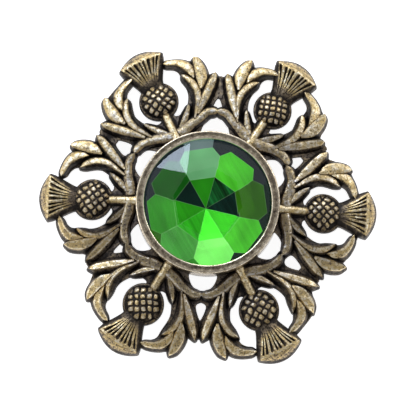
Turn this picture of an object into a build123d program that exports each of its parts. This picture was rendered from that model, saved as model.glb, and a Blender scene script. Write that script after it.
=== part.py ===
from build123d import *
import math
import os
from typing import NamedTuple

# Thistle brooch, lying on its back. Millimetres, +Z is the side that is seen when it is worn.
# The origin is on the surface it lies on, under the middle of the stone, and +X points
# along one flower.

# Whole brooch
span = 63.8                 # from the tip of the flower on +X to the tip of the opposite one
dome_rise = 3.6             # how much higher the casting's back is at the stone than at the tips
foot_depth = 0.16           # what is filed off under each flower tip, so that it lies flat
piece_gap = 0.06            # between two pieces that lie against each other

# Leaves and the web between them
leaf_width = 2.4            # of the widest leaf
leaf_crest = 2.5            # ridge of a leaf above the back
web_thickness = 0.9
spray_lean = -0.6           # degrees, how far the leaves of a flower lean to one side

# Flower
bulb_reach = 0.458          # middle of the bulb, from 0 at the setting to 1 at the flower tip
bulb_diameter = 7.7
bulb_collar = 1.5           # plain rim round the bulb, above the back
head_diameter = 6.0         # knobbed dome on the bulb
head_height = 3.5           # above the back
bulb_sides = 16
knob_pitch = 1.06
knob_base = 0.84
knob_top = 0.54
knob_height = 0.26
knob_turn = 45.0            # degrees, of the rows of knobs to the stem
tuft_width = 9.0
tuft_height = 3.5           # upper edge of the tuft above the back
tuft_camber = 0.12          # share of its height that the tuft falls towards its sides
tuft_start = 0.7            # where the tuft starts in the bulb, as a share of the bulb's radius
rib_count = 8
rib_depth = 0.45
stem_width = 1.8
stem_height = 2.3
stem_shoulder = 0.55        # height of the stem's edges, as a share of stem_height

# Stone
stone_diameter = 25.0
table_diameter = 14.2
crown_height = 1.7
girdle_height = 0.45
star_diameter = 11.6        # outer corners of the eight facets that meet at the point
kite_diameter = 20.4        # corners between the eight large facets and those at the rim
inner_facet_angle = 12.0    # degrees from level
outer_facet_angle = 15.8
stone_turn = 34.3           # degrees, of one corner of the table from +X
rim_bearing = 15.4          # degrees, from a corner of the table to a corner of the facets at the rim
rim_overrun = 1.045         # how far out those corners lie, as a share of the stone's radius

# Setting
bezel_wall = 0.95
bezel_lip = 0.45            # how far the rim lies over the stone
bezel_rim = 0.55            # thickness of the rim over the stone
rim_rounding = 0.3          # radius of the rim's two edges
ledge_width = 0.6           # step that the stone stands on
stone_clearance = 0.1
culet_room = 0.2            # between the stone's point and the plate under it
seat_thickness = 0.8        # plate of the casting that carries the setting

# Pin at the back
pin_bar_length = 24.0
pin_bar_width = 4.0
pin_bar_thickness = 0.8
pin_wire_diameter = 0.9
pin_drop = 1.2              # from the bar's underside to the middle of the wire
knuckle_diameter = 2.2
knuckle_width = 3.0
catch_diameter = 2.2
catch_bore = 1.1
catch_width = 2.0

# Worked out from the sizes above
stone_radius = stone_diameter / 2
bezel_radius = stone_radius + stone_clearance + bezel_wall
reach_length = span / 2 - bezel_radius
bulb_radius = bulb_diameter / 2
head_radius = head_diameter / 2
seat_bottom = dome_rise - foot_depth
seat_top = seat_bottom + seat_thickness
bezel_bottom = seat_top + piece_gap


class Flower(NamedTuple):
    """How far a flower of the hand-finished pattern is out of its regular place."""
    turn: float             # degrees round the stone
    spread: float           # degrees, how much further its leaves stand from it
    stretch: float          # share of the distance from the setting to the flower tip

    def radius(self, reach):
        """Distance from the stone's axis, for a reach of 0 at the setting and 1 at the tip."""
        return bezel_radius + reach * self.stretch * reach_length

    def back(self, x):
        """Height of the casting's back at x along the flower's middle line."""
        return dome_rise * (self.radius(1) - x) / (self.radius(1) - bezel_radius) - foot_depth

    def place(self, bearing, reach, side):
        """Point in plan at a bearing from the flower's line, on one side of it (1 or -1)."""
        turn = math.radians(spray_lean + side * (bearing + self.spread))
        return self.radius(reach) * math.cos(turn), self.radius(reach) * math.sin(turn)

    def raised(self, x, y, height):
        """Point at a height above the back."""
        return x, y, self.back(x) + height


class Station(NamedTuple):
    """One cross-section of a leaf."""
    bearing: float          # degrees from the flower's middle line
    reach: float            # 0 at the setting, 1 at the flower tip
    width: float            # share of leaf_width


class Leaf(NamedTuple):
    """Heights of a leaf as shares of leaf_crest, and its cross-sections from root to tip."""
    edge: float
    crest: float
    curved: bool            # whether more sections go between these on a smooth curve
    stations: list


class Corner(NamedTuple):
    """One corner of the web's outline."""
    bearing: float
    reach: float


class TuftRow(NamedTuple):
    """One row of points across the tuft, from its root in the bulb to its end."""
    along: float            # share of the tuft's length
    flank: float            # width over the plain flanks, share of tuft_width
    fan: float              # width of the ribbed face, share of tuft_width
    height: float           # of the ribbed face, share of tuft_height
    edge: float             # of the flanks, share of tuft_height
    ribs: float             # share of rib_depth
    bow: float              # how far the edges stay behind the middle, share of the length


# The six flowers, the first on +X and the others anticlockwise
flowers = [
    Flower(0.4, 0.2, 1.0), Flower(0.0, -1.2, 1.03), Flower(-1.5, 0.0, 1.03),
    Flower(0.1, 0.7, 1.0), Flower(0.5, 0.5, 1.045), Flower(0.0, 0.2, 1.045),
]

# The six leaves on one side of a flower
leaves = [
    # arch from the flower's shoulder round the opening
    Leaf(0.52, 1.00, True, [
        Station(18.3, 0.600, 0.12), Station(17.2, 0.675, 0.60), Station(15.2, 0.745, 0.98),
        Station(11.9, 0.790, 0.70), Station(6.6, 0.822, 0.52)]),
    # outer pointed leaf
    Leaf(0.48, 0.98, True, [
        Station(21.6, 0.480, 0.12), Station(22.0, 0.590, 0.84), Station(21.0, 0.710, 0.80),
        Station(19.2, 0.830, 0.20)]),
    # diagonal leaf beside the next flower's leaves
    Leaf(0.48, 0.94, False, [
        Station(19.0, 0.225, 0.25), Station(22.9, 0.368, 0.75), Station(25.9, 0.490, 0.92),
        Station(28.3, 0.600, 0.66), Station(29.0, 0.675, 0.22)]),
    # curved blade beside the bulb
    Leaf(0.50, 0.92, True, [
        Station(14.6, 0.180, 0.30), Station(17.2, 0.357, 0.80), Station(16.8, 0.477, 0.96),
        Station(14.8, 0.565, 0.82), Station(11.6, 0.655, 0.30)]),
    # small leaflet at the foot of the stem
    Leaf(0.46, 0.84, False, [
        Station(5.6, 0.130, 0.35), Station(9.9, 0.205, 0.62), Station(13.8, 0.335, 0.22)]),
    # branch that meets the next flower's branch
    Leaf(0.42, 0.82, False, [
        Station(2.6, 0.066, 0.70), Station(11.0, 0.106, 0.74), Station(18.2, 0.160, 0.64),
        Station(24.6, 0.195, 0.60), Station(31.0, 0.190, 0.58)]),
]

# Outline of the web on one side of a flower. It bounds half of the opening beside the
# setting, half of the three-cornered opening and the tall opening beside the bulb.
web_outline = [
    Corner(-3.0, -0.050), Corner(17.4, -0.050), Corner(18.2, 0.010), Corner(20.1, 0.064),
    Corner(22.8, 0.110), Corner(26.6, 0.138), Corner(32.0, 0.148), Corner(32.0, 0.226),
    Corner(28.0, 0.254), Corner(27.5, 0.302), Corner(29.6, 0.406), Corner(32.0, 0.420),
    Corner(31.4, 0.640), Corner(28.6, 0.640), Corner(25.6, 0.610), Corner(22.4, 0.700),
    Corner(19.0, 0.770), Corner(15.6, 0.800), Corner(6.4, 0.850), Corner(7.4, 0.762),
    Corner(10.0, 0.730), Corner(12.0, 0.685), Corner(12.8, 0.600), Corner(14.2, 0.480),
    Corner(14.0, 0.400), Corner(12.4, 0.322), Corner(9.4, 0.276), Corner(7.0, 0.254),
    Corner(4.6, 0.260), Corner(3.2, 0.300), Corner(-3.0, 0.330),
]

# Tuft: a neck, a ribbed fan and a rounded end
tuft_rows = [
    TuftRow(0.00, 0.52, 0.22, 0.56, 0.30, 0.2, 0.00), TuftRow(0.16, 0.58, 0.32, 0.64, 0.34, 0.7, 0.00),
    TuftRow(0.46, 0.84, 0.60, 0.82, 0.40, 1.0, 0.01), TuftRow(0.76, 0.99, 0.92, 1.00, 0.52, 0.8, 0.05),
    TuftRow(0.86, 1.00, 0.95, 0.96, 0.56, 0.0, 0.12), TuftRow(0.95, 1.00, 0.95, 0.78, 0.48, 0.0, 0.19),
    TuftRow(1.00, 0.98, 0.94, 0.46, 0.30, 0.0, 0.24),
]


# Bulb: radius as a share of the bulb's radius and height as a share of bulb_collar, from the
# back up, then the rings of the dome as shares of its radius
collar_rings = [(1.0, 0.0), (1.0, 0.8), (0.94, 1.0)]
dome_rings = [0.98, 0.64, 0.22]

# Stem: place from 0 at the setting to 1 at the bulb's middle, width as a share of stem_width
stem_sections = [(0.0, 1.0), (0.5, 0.86), (1.0, 0.95)]


def flat_face(*corners):
    return Face(Wire.make_polygon([Vector(*corner) for corner in corners], close=True))


def closed_solid(faces):
    return Solid(Shell(faces))


def relief(flower, rows):
    """Solid between the casting's back and a grid of points: x, y and height above the back."""
    top = [[flower.raised(*point) for point in row] for row in rows]
    faces = []
    for near, far in zip(top, top[1:]):
        for a, b, c, d in zip(near, near[1:], far[1:], far):
            faces.append(flat_face(a, b, c))
            faces.append(flat_face(a, c, d))
    rim = top[0] + [row[-1] for row in top[1:-1]] + top[-1][::-1] + [row[0] for row in top[-2:0:-1]]
    base = [flower.raised(x, y, 0) for x, y, z in rim]
    for a, b, c, d in zip(rim, rim[1:] + rim[:1], base[1:] + base[:1], base):
        faces.append(flat_face(a, b, c, d))
    faces.append(flat_face(*base))
    return closed_solid(faces)


def stack(rings):
    """Solid through level or tilted rings of points, the first and last of them closed flat."""
    faces = [flat_face(*rings[0]), flat_face(*rings[-1])]
    for low, high in zip(rings, rings[1:]):
        for a, b, c, d in zip(low, low[1:] + low[:1], high[1:] + high[:1], high):
            faces.append(flat_face(a, b, c))
            faces.append(flat_face(a, c, d))
    return closed_solid(faces)


def between_stations(stations):
    """The stations with one more between each pair, on a smooth curve through them."""
    rows = [stations[0]] + stations + [stations[-1]]
    smooth = [stations[0]]
    for before, start, end, after in zip(rows, rows[1:], rows[2:], rows[3:]):
        middle = [(9 * (b + c) - a - d) / 16 for a, b, c, d in zip(before, start, end, after)]
        smooth += [Station(*middle), end]
    return smooth


def leaf(flower, shape, side):
    """A leaf with upright edges and a ridge along its middle."""
    stations = between_stations(shape.stations) if shape.curved else shape.stations
    path = [flower.place(station.bearing, station.reach, side) for station in stations]
    rows = []
    for index, station in enumerate(stations):
        x, y = path[index]
        before = path[max(index - 1, 0)]
        after = path[min(index + 1, len(path) - 1)]
        along_x = after[0] - before[0]
        along_y = after[1] - before[1]
        half = station.width * leaf_width / 2 / math.hypot(along_x, along_y)
        across_x = -along_y * half
        across_y = along_x * half
        edge = shape.edge * leaf_crest
        rows.append([(x - across_x, y - across_y, edge),
                     (x, y, shape.crest * leaf_crest),
                     (x + across_x, y + across_y, edge)])
    return relief(flower, rows)


def web(flower, side):
    """Thin plate behind the leaves of one side."""
    outline = [flower.place(corner.bearing, corner.reach, side) for corner in web_outline]
    return stack([[flower.raised(x, y, height) for x, y in outline] for height in (0, web_thickness)])


def stem(flower):
    """Straight stem from the plate under the setting into the bulb."""
    start = bezel_radius - bezel_wall
    end = flower.radius(bulb_reach)
    rows = []
    for along, share in stem_sections:
        x = start + along * (end - start)
        half = share * stem_width / 2
        rows.append([(x, -half, stem_shoulder * stem_height), (x, -half / 2, stem_height),
                     (x, half / 2, stem_height), (x, half, stem_shoulder * stem_height)])
    return relief(flower, rows)


def head_surface(radius):
    """Height of the dome above the back at a distance from the bulb's middle."""
    rise = head_height - bulb_collar
    ball = (head_radius ** 2 + rise ** 2) / (2 * rise)
    return head_height - ball + math.sqrt(ball ** 2 - radius ** 2), ball


def bulb(flower):
    """Round body with an upright rim and a dome."""
    profile = [(wide * bulb_radius, high * bulb_collar) for wide, high in collar_rings]
    for share in dome_rings:
        radius = share * head_radius
        profile.append((radius, head_surface(radius)[0]))
    rings = []
    for radius, height in profile:
        ring = []
        for step in range(bulb_sides):
            angle = 2 * math.pi * step / bulb_sides
            x = flower.radius(bulb_reach) + radius * math.cos(angle)
            ring.append(flower.raised(x, radius * math.sin(angle), height))
        rings.append(ring)
    return stack(rings)


def knob(flower, centre_x, centre_y):
    """Four-sided stud that stands on the dome, square to its surface."""
    height, ball = head_surface(math.hypot(centre_x, centre_y))
    drop = math.sqrt(ball ** 2 - centre_x ** 2 - centre_y ** 2)
    rings = []
    for width, rise in [(knob_base, -knob_base / 2), (knob_top, knob_height)]:
        spread = 1 + rise / ball
        ring = []
        for corner in range(4):
            angle = math.radians(knob_turn + 45 + 90 * corner)
            local_x = spread * centre_x + width * math.sqrt(0.5) * math.cos(angle)
            local_y = spread * centre_y + width * math.sqrt(0.5) * math.sin(angle)
            lean = centre_x * (local_x - centre_x) + centre_y * (local_y - centre_y)
            x = flower.radius(bulb_reach) + local_x
            ring.append(flower.raised(x, local_y, height - lean / drop + rise))
        rings.append(ring)
    return stack(rings)


def knobs(flower):
    """Rows of knobs over the dome."""
    studs = []
    count = int(head_radius / knob_pitch)
    turn = math.radians(knob_turn)
    for row in range(-count, count + 1):
        for column in range(-count, count + 1):
            x = knob_pitch * (row * math.cos(turn) - column * math.sin(turn))
            y = knob_pitch * (row * math.sin(turn) + column * math.cos(turn))
            if math.hypot(x, y) < head_radius - knob_base / 2:
                studs.append(knob(flower, x, y))
    return studs


def tuft(flower):
    """Fan of ribs that opens from the bulb, with a rounded end."""
    root = flower.radius(bulb_reach) + tuft_start * bulb_radius
    length = flower.radius(1) - root
    rows = []
    for shape in tuft_rows:
        flank = shape.flank * tuft_width / 2
        fan = shape.fan * tuft_width / 2
        edge = shape.edge * tuft_height
        row = [(root + length * (shape.along - shape.bow), -flank, edge)]
        for step in range(-rib_count, rib_count + 1):
            share = step / rib_count
            x = root + length * (shape.along - shape.bow * (share * fan / flank) ** 2)
            height = shape.height * tuft_height * (1 - tuft_camber * share ** 2)
            if (step + rib_count) % 2:
                height -= shape.ribs * rib_depth
            row.append((x, fan * share, height))
        row.append((row[0][0], flank, edge))
        rows.append(row)
    return relief(flower, rows)


def spray(flower):
    """One flower with the leaves on both its sides, along +X."""
    pieces = [tuft(flower), stem(flower)] + knobs(flower)
    for side in (1, -1):
        pieces.append(web(flower, side))
        pieces += [leaf(flower, shape, side) for shape in leaves]
    return bulb(flower).fuse(*pieces)


def thistle_wreath():
    """Six flowers on the plate under the setting, cast in one piece."""
    sprays = []
    for index, flower in enumerate(flowers):
        sprays.append(spray(flower).rotate(Axis.Z, index * 360 / len(flowers) + flower.turn))
    plate = Cylinder(bezel_radius, seat_thickness, align=(Align.CENTER, Align.CENTER, Align.MIN))
    plate = plate.moved(Location((0, 0, seat_bottom)))
    room = Cylinder(bezel_radius + piece_gap, bezel_top, align=(Align.CENTER, Align.CENTER, Align.MIN))
    ground = Box(2 * span, 2 * span, dome_rise, align=(Align.CENTER, Align.CENTER, Align.MAX))
    return plate.fuse(*sprays) - room.moved(Location((0, 0, seat_top))) - ground


# Facets of the stone, as radii and as heights above its point
stone_corners = 8
half_side = 180 / stone_corners
half_cosine = math.cos(math.radians(half_side))
star_apothem = star_diameter / 2 * half_cosine
kite_radius = kite_diameter / 2
rim_radius = rim_overrun * stone_radius
rim_apothem = rim_radius * math.cos(math.radians(half_side - rim_bearing))
outer_slope = math.tan(math.radians(outer_facet_angle))
star_rise = star_apothem * math.tan(math.radians(inner_facet_angle))
kite_rise = star_rise + outer_slope * (kite_radius * half_cosine - star_apothem)
pavilion_depth = star_rise + outer_slope * (rim_apothem - star_apothem)

# Levels from the plate up. The rim of the setting clears the stone at its opening.
opening_radius = stone_radius - bezel_lip
crown_radius = stone_radius / half_cosine
crown_share = (crown_radius - opening_radius) / (crown_radius - table_diameter / 2 * half_cosine)
culet_height = seat_top + culet_room
girdle_bottom = culet_height + pavilion_depth
crown_bottom = girdle_bottom + girdle_height
table_height = crown_bottom + crown_height
rim_bottom = crown_bottom + crown_share * crown_height + stone_clearance
bezel_top = rim_bottom + bezel_rim


def ring(radius, height, bearings):
    """Points round the stone's axis."""
    points = []
    for bearing in bearings:
        angle = math.radians(stone_turn + bearing)
        points.append((radius * math.cos(angle), radius * math.sin(angle), height))
    return points


def crown():
    """Upper half of the stone: a table of eight sides and sixteen facets, with straight sides below."""
    corners = [2 * half_side * step for step in range(stone_corners)]
    middles = [corner + half_side for corner in corners]
    table = ring(table_diameter / 2, table_height, corners)
    girdle = ring(crown_radius, crown_bottom, middles)
    foot = ring(crown_radius, culet_height - crown_height, middles)
    faces = [flat_face(*table), flat_face(*foot)]
    for step in range(stone_corners):
        after = (step + 1) % stone_corners
        faces.append(flat_face(table[step], table[after], girdle[step]))
        faces.append(flat_face(table[after], girdle[step], girdle[after]))
        faces.append(flat_face(girdle[step], girdle[after], foot[after], foot[step]))
    return closed_solid(faces)


def pavilion():
    """Lower half of the stone: eight facets round the point, eight large ones and eight at the rim."""
    corners = [2 * half_side * step for step in range(stone_corners)]
    rim_bearings = [corner + offset for corner in corners for offset in (-rim_bearing, rim_bearing)]
    point = (0, 0, culet_height)
    star = ring(star_diameter / 2, culet_height + star_rise, corners)
    kite = ring(kite_radius, culet_height + kite_rise, corners)
    rim = ring(rim_radius, girdle_bottom, rim_bearings)
    top = ring(rim_radius, table_height + crown_height, rim_bearings)
    faces = [flat_face(*top)]
    for step in range(stone_corners):
        after = (step + 1) % stone_corners
        left, right, beyond = rim[2 * step], rim[2 * step + 1], rim[2 * after]
        faces.append(flat_face(point, star[step], star[after]))
        faces.append(flat_face(star[step], star[after], kite[after], beyond, right, kite[step]))
        faces.append(flat_face(kite[step], left, right))
    for index in range(len(rim)):
        after = (index + 1) % len(rim)
        faces.append(flat_face(rim[index], rim[after], top[after], top[index]))
    return closed_solid(faces)


def glass_stone():
    """Round cut stone with a pointed back."""
    bottom = culet_height - crown_height / 2
    blank = Cylinder(stone_radius, table_height + crown_height / 2 - bottom,
                     align=(Align.CENTER, Align.CENTER, Align.MIN))
    return blank.moved(Location((0, 0, bottom))) & crown() & pavilion()


def stone_bezel():
    """Ring with a step under the stone and a rim turned over its edge."""
    inner = bezel_radius - bezel_wall
    step = inner - ledge_width
    deepest = rim_apothem - step * math.cos(math.radians(rim_bearing))
    ledge = girdle_bottom - outer_slope * deepest - stone_clearance / 2
    rim_foot = bezel_top - rim_rounding
    rim_face = Polyline((bezel_radius - rim_rounding, bezel_top), (opening_radius + rim_rounding, bezel_top))
    lip = RadiusArc((opening_radius + rim_rounding, bezel_top), (opening_radius, rim_foot), rim_rounding)
    shoulder = RadiusArc((bezel_radius, rim_foot), (bezel_radius - rim_rounding, bezel_top), rim_rounding)
    walls = Polyline(
        (opening_radius, rim_foot), (opening_radius, rim_bottom), (inner, rim_bottom),
        (inner, ledge), (step, ledge), (step, ledge - ledge_width), (inner, ledge - 2 * ledge_width),
        (inner, bezel_bottom), (bezel_radius, bezel_bottom), (bezel_radius, rim_foot))
    outline = Wire([*rim_face.edges(), *lip.edges(), *walls.edges(), *shoulder.edges()])
    section = Face(outline).rotate(Axis.X, 90)
    return revolve(section, Axis.Z, 360)


def pin_back():
    """Bar, hinge knuckle, catch and wire, made plainly as one piece."""
    bar_top = seat_bottom - piece_gap
    bar_bottom = bar_top - pin_bar_thickness
    wire_height = bar_bottom - pin_drop
    end = pin_bar_length / 2
    bar = Box(pin_bar_length, pin_bar_width, pin_bar_thickness)
    bar = bar.moved(Location((0, 0, (bar_top + bar_bottom) / 2)))
    across = Rotation(90, 0, 0)
    along = Rotation(0, 90, 0)
    knuckle_x = -end + knuckle_diameter / 2
    catch_x = end - catch_width / 2
    knuckle = Location((knuckle_x, 0, wire_height)) * across * Cylinder(knuckle_diameter / 2, knuckle_width)
    post_height = bar_top - wire_height
    lug = Box(knuckle_diameter, knuckle_width, post_height, align=(Align.CENTER, Align.CENTER, Align.MIN))
    lug = lug.moved(Location((knuckle_x, 0, wire_height)))
    hook = Location((catch_x, 0, wire_height)) * along * Cylinder(catch_diameter / 2, catch_width)
    post = Box(catch_width, catch_diameter / 2, post_height, align=(Align.CENTER, Align.MAX, Align.MIN))
    post = post.moved(Location((catch_x, 0, wire_height)))
    bore = Location((catch_x, 0, wire_height)) * along * Cylinder(catch_bore / 2, 2 * catch_width)
    mouth = Box(2 * catch_width, catch_diameter, catch_bore / 2, align=(Align.CENTER, Align.MIN, Align.MIN))
    mouth = mouth.moved(Location((catch_x, 0, wire_height)))
    wire_length = pin_bar_length - knuckle_diameter / 2
    wire = Cylinder(pin_wire_diameter / 2, wire_length, align=(Align.CENTER, Align.CENTER, Align.MIN))
    wire = Location((knuckle_x, 0, wire_height)) * along * wire
    fixed = bar.fuse(knuckle, lug, hook, post)
    return (fixed - bore - mouth).fuse(wire)


os.makedirs("parts", exist_ok=True)
for node, shape in [("thistle_wreath", thistle_wreath()), ("stone_bezel", stone_bezel()),
                    ("glass_stone", glass_stone()), ("pin_back", pin_back())]:
    export_step(shape, f"parts/{node}.step")
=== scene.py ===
import logging
import math
from dataclasses import dataclass, field
from enum import Enum

import bpy
import numpy as np
from mathutils import Matrix, Vector


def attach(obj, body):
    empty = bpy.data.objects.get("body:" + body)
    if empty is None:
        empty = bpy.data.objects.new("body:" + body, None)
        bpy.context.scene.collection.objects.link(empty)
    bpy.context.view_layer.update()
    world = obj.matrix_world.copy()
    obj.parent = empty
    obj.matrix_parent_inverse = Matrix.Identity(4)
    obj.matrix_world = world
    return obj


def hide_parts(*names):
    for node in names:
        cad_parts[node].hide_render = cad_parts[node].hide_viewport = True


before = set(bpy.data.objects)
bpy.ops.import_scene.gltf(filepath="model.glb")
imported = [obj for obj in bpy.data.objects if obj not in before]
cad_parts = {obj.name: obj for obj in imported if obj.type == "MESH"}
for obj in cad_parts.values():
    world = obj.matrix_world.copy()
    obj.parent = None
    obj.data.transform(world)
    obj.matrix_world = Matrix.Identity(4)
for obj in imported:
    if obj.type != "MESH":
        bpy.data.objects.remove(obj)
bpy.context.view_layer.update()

LOG = logging.getLogger("thistle_brooch")
MILLIMETRE = 0.001
FLANK_PATINA = 0.78             # of a relief's flanks, near their upper edge
FOOT_SHADE = 0.20               # and how much more there is at their foot
FLANK_STEPS = 3                 # of a flank with a flare


# Small tools for numbers, colours and meshes

def linear(hex_colour: str) -> tuple[float, float, float, float]:
    """Turns an sRGB hex colour into the linear values that a shader socket takes.

    Args:
        hex_colour: six hexadecimal digits after a hash sign.

    Returns:
        Linear red, green and blue, and an alpha of 1.
    """
    parts = [int(hex_colour[place:place + 2], 16) / 255 for place in (1, 3, 5)]
    curved = [part / 12.92 if part <= 0.04045 else ((part + 0.055) / 1.055) ** 2.4 for part in parts]
    return curved[0], curved[1], curved[2], 1.0


def per_metre(millimetres: float) -> float:
    """How many features of a size in millimetres fit in a metre, which is a texture's scale."""
    return 1.0 / (millimetres * MILLIMETRE)


def waves_per_metre(millimetres: float) -> float:
    """Scale of a wave texture, whose waves are a tenth of pi apart at a scale of 1."""
    return per_metre(millimetres) * math.pi / 10


def smooth_step(start: float, end: float, values: np.ndarray) -> np.ndarray:
    """Rises from 0 at start to 1 at end as 3t squared less 2t cubed, and may run downwards too."""
    share = np.clip((values - start) / (end - start), 0.0, 1.0)
    return share * share * (3.0 - 2.0 * share)


def waver(x: np.ndarray, y: np.ndarray, length: float) -> np.ndarray:
    """Gentle unevenness: the sum of four sine waves in different directions, from -1 to 1.

    Args:
        x: first coordinate in millimetres.
        y: second coordinate in millimetres.
        length: the longest wave in millimetres.

    Returns:
        The value of the sum at each point.
    """
    total = np.zeros(np.broadcast(x, y).shape)
    for turn, share, shift in ((0.3, 1.0, 0.7), (1.9, 0.71, 2.1), (3.4, 0.53, 4.0), (5.0, 0.37, 5.3)):
        along = x * math.cos(turn) + y * math.sin(turn)
        total += np.sin(2 * math.pi * along / (length * share) + shift) / 4
    return total


def curve_through(rows: np.ndarray, samples: int, closed: bool = False) -> np.ndarray:
    """Smooth curve through the rows of a table: on each span the cubic whose slope at a row is
    half the step between that row's neighbours.

    Args:
        rows: one row for each point, with any number of columns.
        samples: points on each span.
        closed: whether the curve returns to its first row.

    Returns:
        The rows of the curve, from the first row to the last, or round to the first.
    """
    if closed:
        before, start, end, after = (np.roll(rows, shift, axis=0) for shift in (1, 0, -1, -2))
    else:
        padded = np.vstack([2 * rows[0] - rows[1], rows, 2 * rows[-1] - rows[-2]])
        before, start, end, after = padded[:-3], padded[1:-2], padded[2:-1], padded[3:]
    t = (np.arange(samples) / samples)[None, :, None]
    before, start, end, after = (part[:, None, :] for part in (before, start, end, after))
    spans = 0.5 * (2 * start + (end - before) * t
                   + (2 * before - 5 * start + 4 * end - after) * t ** 2
                   + (3 * start - before - 3 * end + after) * t ** 3)
    spans = spans.reshape(-1, rows.shape[1])
    return spans if closed else np.vstack([spans, rows[-1:]])


@dataclass
class Surface:
    """A closed surface: points in millimetres, polygons, and a value from 0, rubbed bright,
    to 1, black, of the patina that its own shape holds at each point."""
    points: np.ndarray
    faces: list[list[int]]
    patina: np.ndarray

    @staticmethod
    def joined(surfaces: list["Surface"]) -> "Surface":
        """Puts several surfaces into one, each with its own points.

        Args:
            surfaces: the surfaces, in the order that they are joined in.

        Returns:
            The joined surface.
        """
        faces: list[list[int]] = []
        count = 0
        for surface in surfaces:
            faces += [[corner + count for corner in face] for face in surface.faces]
            count += len(surface.points)
        return Surface(np.vstack([surface.points for surface in surfaces]), faces,
                       np.concatenate([surface.patina for surface in surfaces]))


def polar(radius: np.ndarray | float, angle: np.ndarray) -> np.ndarray:
    """Plan points at distances from the axis and angles in radians."""
    return np.stack([radius * np.cos(angle), radius * np.sin(angle)], axis=-1)


def eight_ways(turn: float) -> np.ndarray:
    """Unit vectors in eight directions, 45 degrees apart, from a turn in degrees."""
    return polar(1.0, np.radians(turn + 45.0 * np.arange(8)))


def left_of(steps: np.ndarray) -> np.ndarray:
    """Unit vectors in plan, a quarter turn to the left of steps."""
    length = np.maximum(np.hypot(steps[:, 0], steps[:, 1]), 1e-6)
    return np.stack([-steps[:, 1], steps[:, 0]], axis=-1) / length[:, None]


def bands(index: np.ndarray) -> list[list[int]]:
    """Quads between each row of point numbers and the next, where every row closes on itself."""
    after = np.roll(index, -1, axis=1)
    return np.stack([index[:-1], after[:-1], after[1:], index[1:]], axis=-1).reshape(-1, 4).tolist()


def relief(top: np.ndarray, base: np.ndarray, patina: np.ndarray, flare: float = 0.0) -> Surface:
    """Closed surface under a grid of points: the grid itself, flanks down from its border to a
    base height, and one flat face below. A flank with a flare is a quarter ellipse in a few
    steps: it drops by 1 less the cosine and stands out by the flare times the sine of the
    same angle. Without one it is a straight wall. Flanks darken towards their foot.

    Args:
        top: rows by columns by x, y, z of the upper surface.
        base: rows by columns of the height that the flanks go down to.
        patina: rows by columns of the patina of the upper surface.
        flare: how far out the flanks' foot lies, in millimetres.

    Returns:
        The surface, with its faces outwards whichever way the grid runs.
    """
    along = top[-1, top.shape[1] // 2] - top[0, top.shape[1] // 2]
    across = top[top.shape[0] // 2, -1] - top[top.shape[0] // 2, 0]
    if along[0] * across[1] - along[1] * across[0] < 0:
        top, base, patina = top[:, ::-1], base[:, ::-1], patina[:, ::-1]
    rows, columns = patina.shape
    index = np.arange(rows * columns).reshape(rows, columns)
    quads = np.stack([index[:-1, :-1], index[1:, :-1], index[1:, 1:], index[:-1, 1:]], axis=-1)
    loop = np.concatenate([index[0, :], index[1:, -1], index[-1, -2::-1], index[-2:0:-1, 0]])
    points = top.reshape(-1, 3)
    border, floor = points[loop], base.reshape(-1)[loop]
    outward = left_of(np.roll(border, -2, axis=0) - np.roll(border, 2, axis=0)) * flare
    angles = np.linspace(0, math.pi / 2, 1 + (FLANK_STEPS if flare else 1))[1:]
    rings = [np.column_stack([border[:, :2] + outward * math.sin(angle),
                              floor + (border[:, 2] - floor) * math.cos(angle)]) for angle in angles]
    shades = [FLANK_PATINA + FOOT_SHADE * math.sin(angle) for angle in angles]
    below = rows * columns + np.arange(len(angles) * len(loop)).reshape(len(angles), len(loop))
    faces = quads.reshape(-1, 4).tolist() + bands(np.vstack([loop, below])) + [below[-1].tolist()]
    return Surface(np.vstack([points, *rings]), faces,
                   np.concatenate([patina.reshape(-1), np.repeat(shades, len(loop))]))


def lathe(radius: np.ndarray, height: np.ndarray, patina: np.ndarray, steps: int) -> Surface:
    """Surface of revolution: a profile carried round the stone's axis, where the profile is
    closed by going from its last point to its first. The sign of the profile's area says
    which way it runs, and the faces are turned to point outwards.

    Args:
        radius: distance of each profile point from the axis.
        height: height of each profile point.
        patina: patina of each profile point.
        steps: how many places round the axis.

    Returns:
        The closed ring.
    """
    area = np.sum(radius * np.roll(height, -1) - np.roll(radius, -1) * height)
    if area < 0:
        radius, height, patina = radius[::-1], height[::-1], patina[::-1]
    angle = 2 * math.pi * np.arange(steps)[:, None] / steps
    points = np.dstack([polar(radius, angle), np.broadcast_to(height, (steps, len(height)))])
    index = np.arange(steps * len(radius)).reshape(steps, len(radius))
    after, beside = np.roll(index, -1, axis=0), np.roll(index, -1, axis=1)
    quads = np.stack([index, after, np.roll(after, -1, axis=1), beside], axis=-1)
    return Surface(points.reshape(-1, 3), quads.reshape(-1, 4).tolist(), np.tile(patina, steps))


def disc_grid(count: int) -> tuple[np.ndarray, np.ndarray]:
    """A square grid bent into a disc, so that its square rings become circles: the larger
    coordinate is the radius, and the ratio of the two is the angle within a quarter turn.

    Args:
        count: points along one side, an odd number.

    Returns:
        Radius from 0 to 1 and angle at each point of the grid.
    """
    line = np.linspace(-1, 1, count)
    u, v = np.meshgrid(line, line, indexing="ij")
    wide = np.abs(u) >= np.abs(v)
    big = np.where(wide, u, v)
    safe = np.where(big == 0, 1.0, big)
    share = np.where(wide, v, u) / safe
    angle = np.where(wide, math.pi / 4 * share, math.pi / 2 - math.pi / 4 * share)
    return np.abs(big), np.where(big < 0, angle + math.pi, angle)


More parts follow.
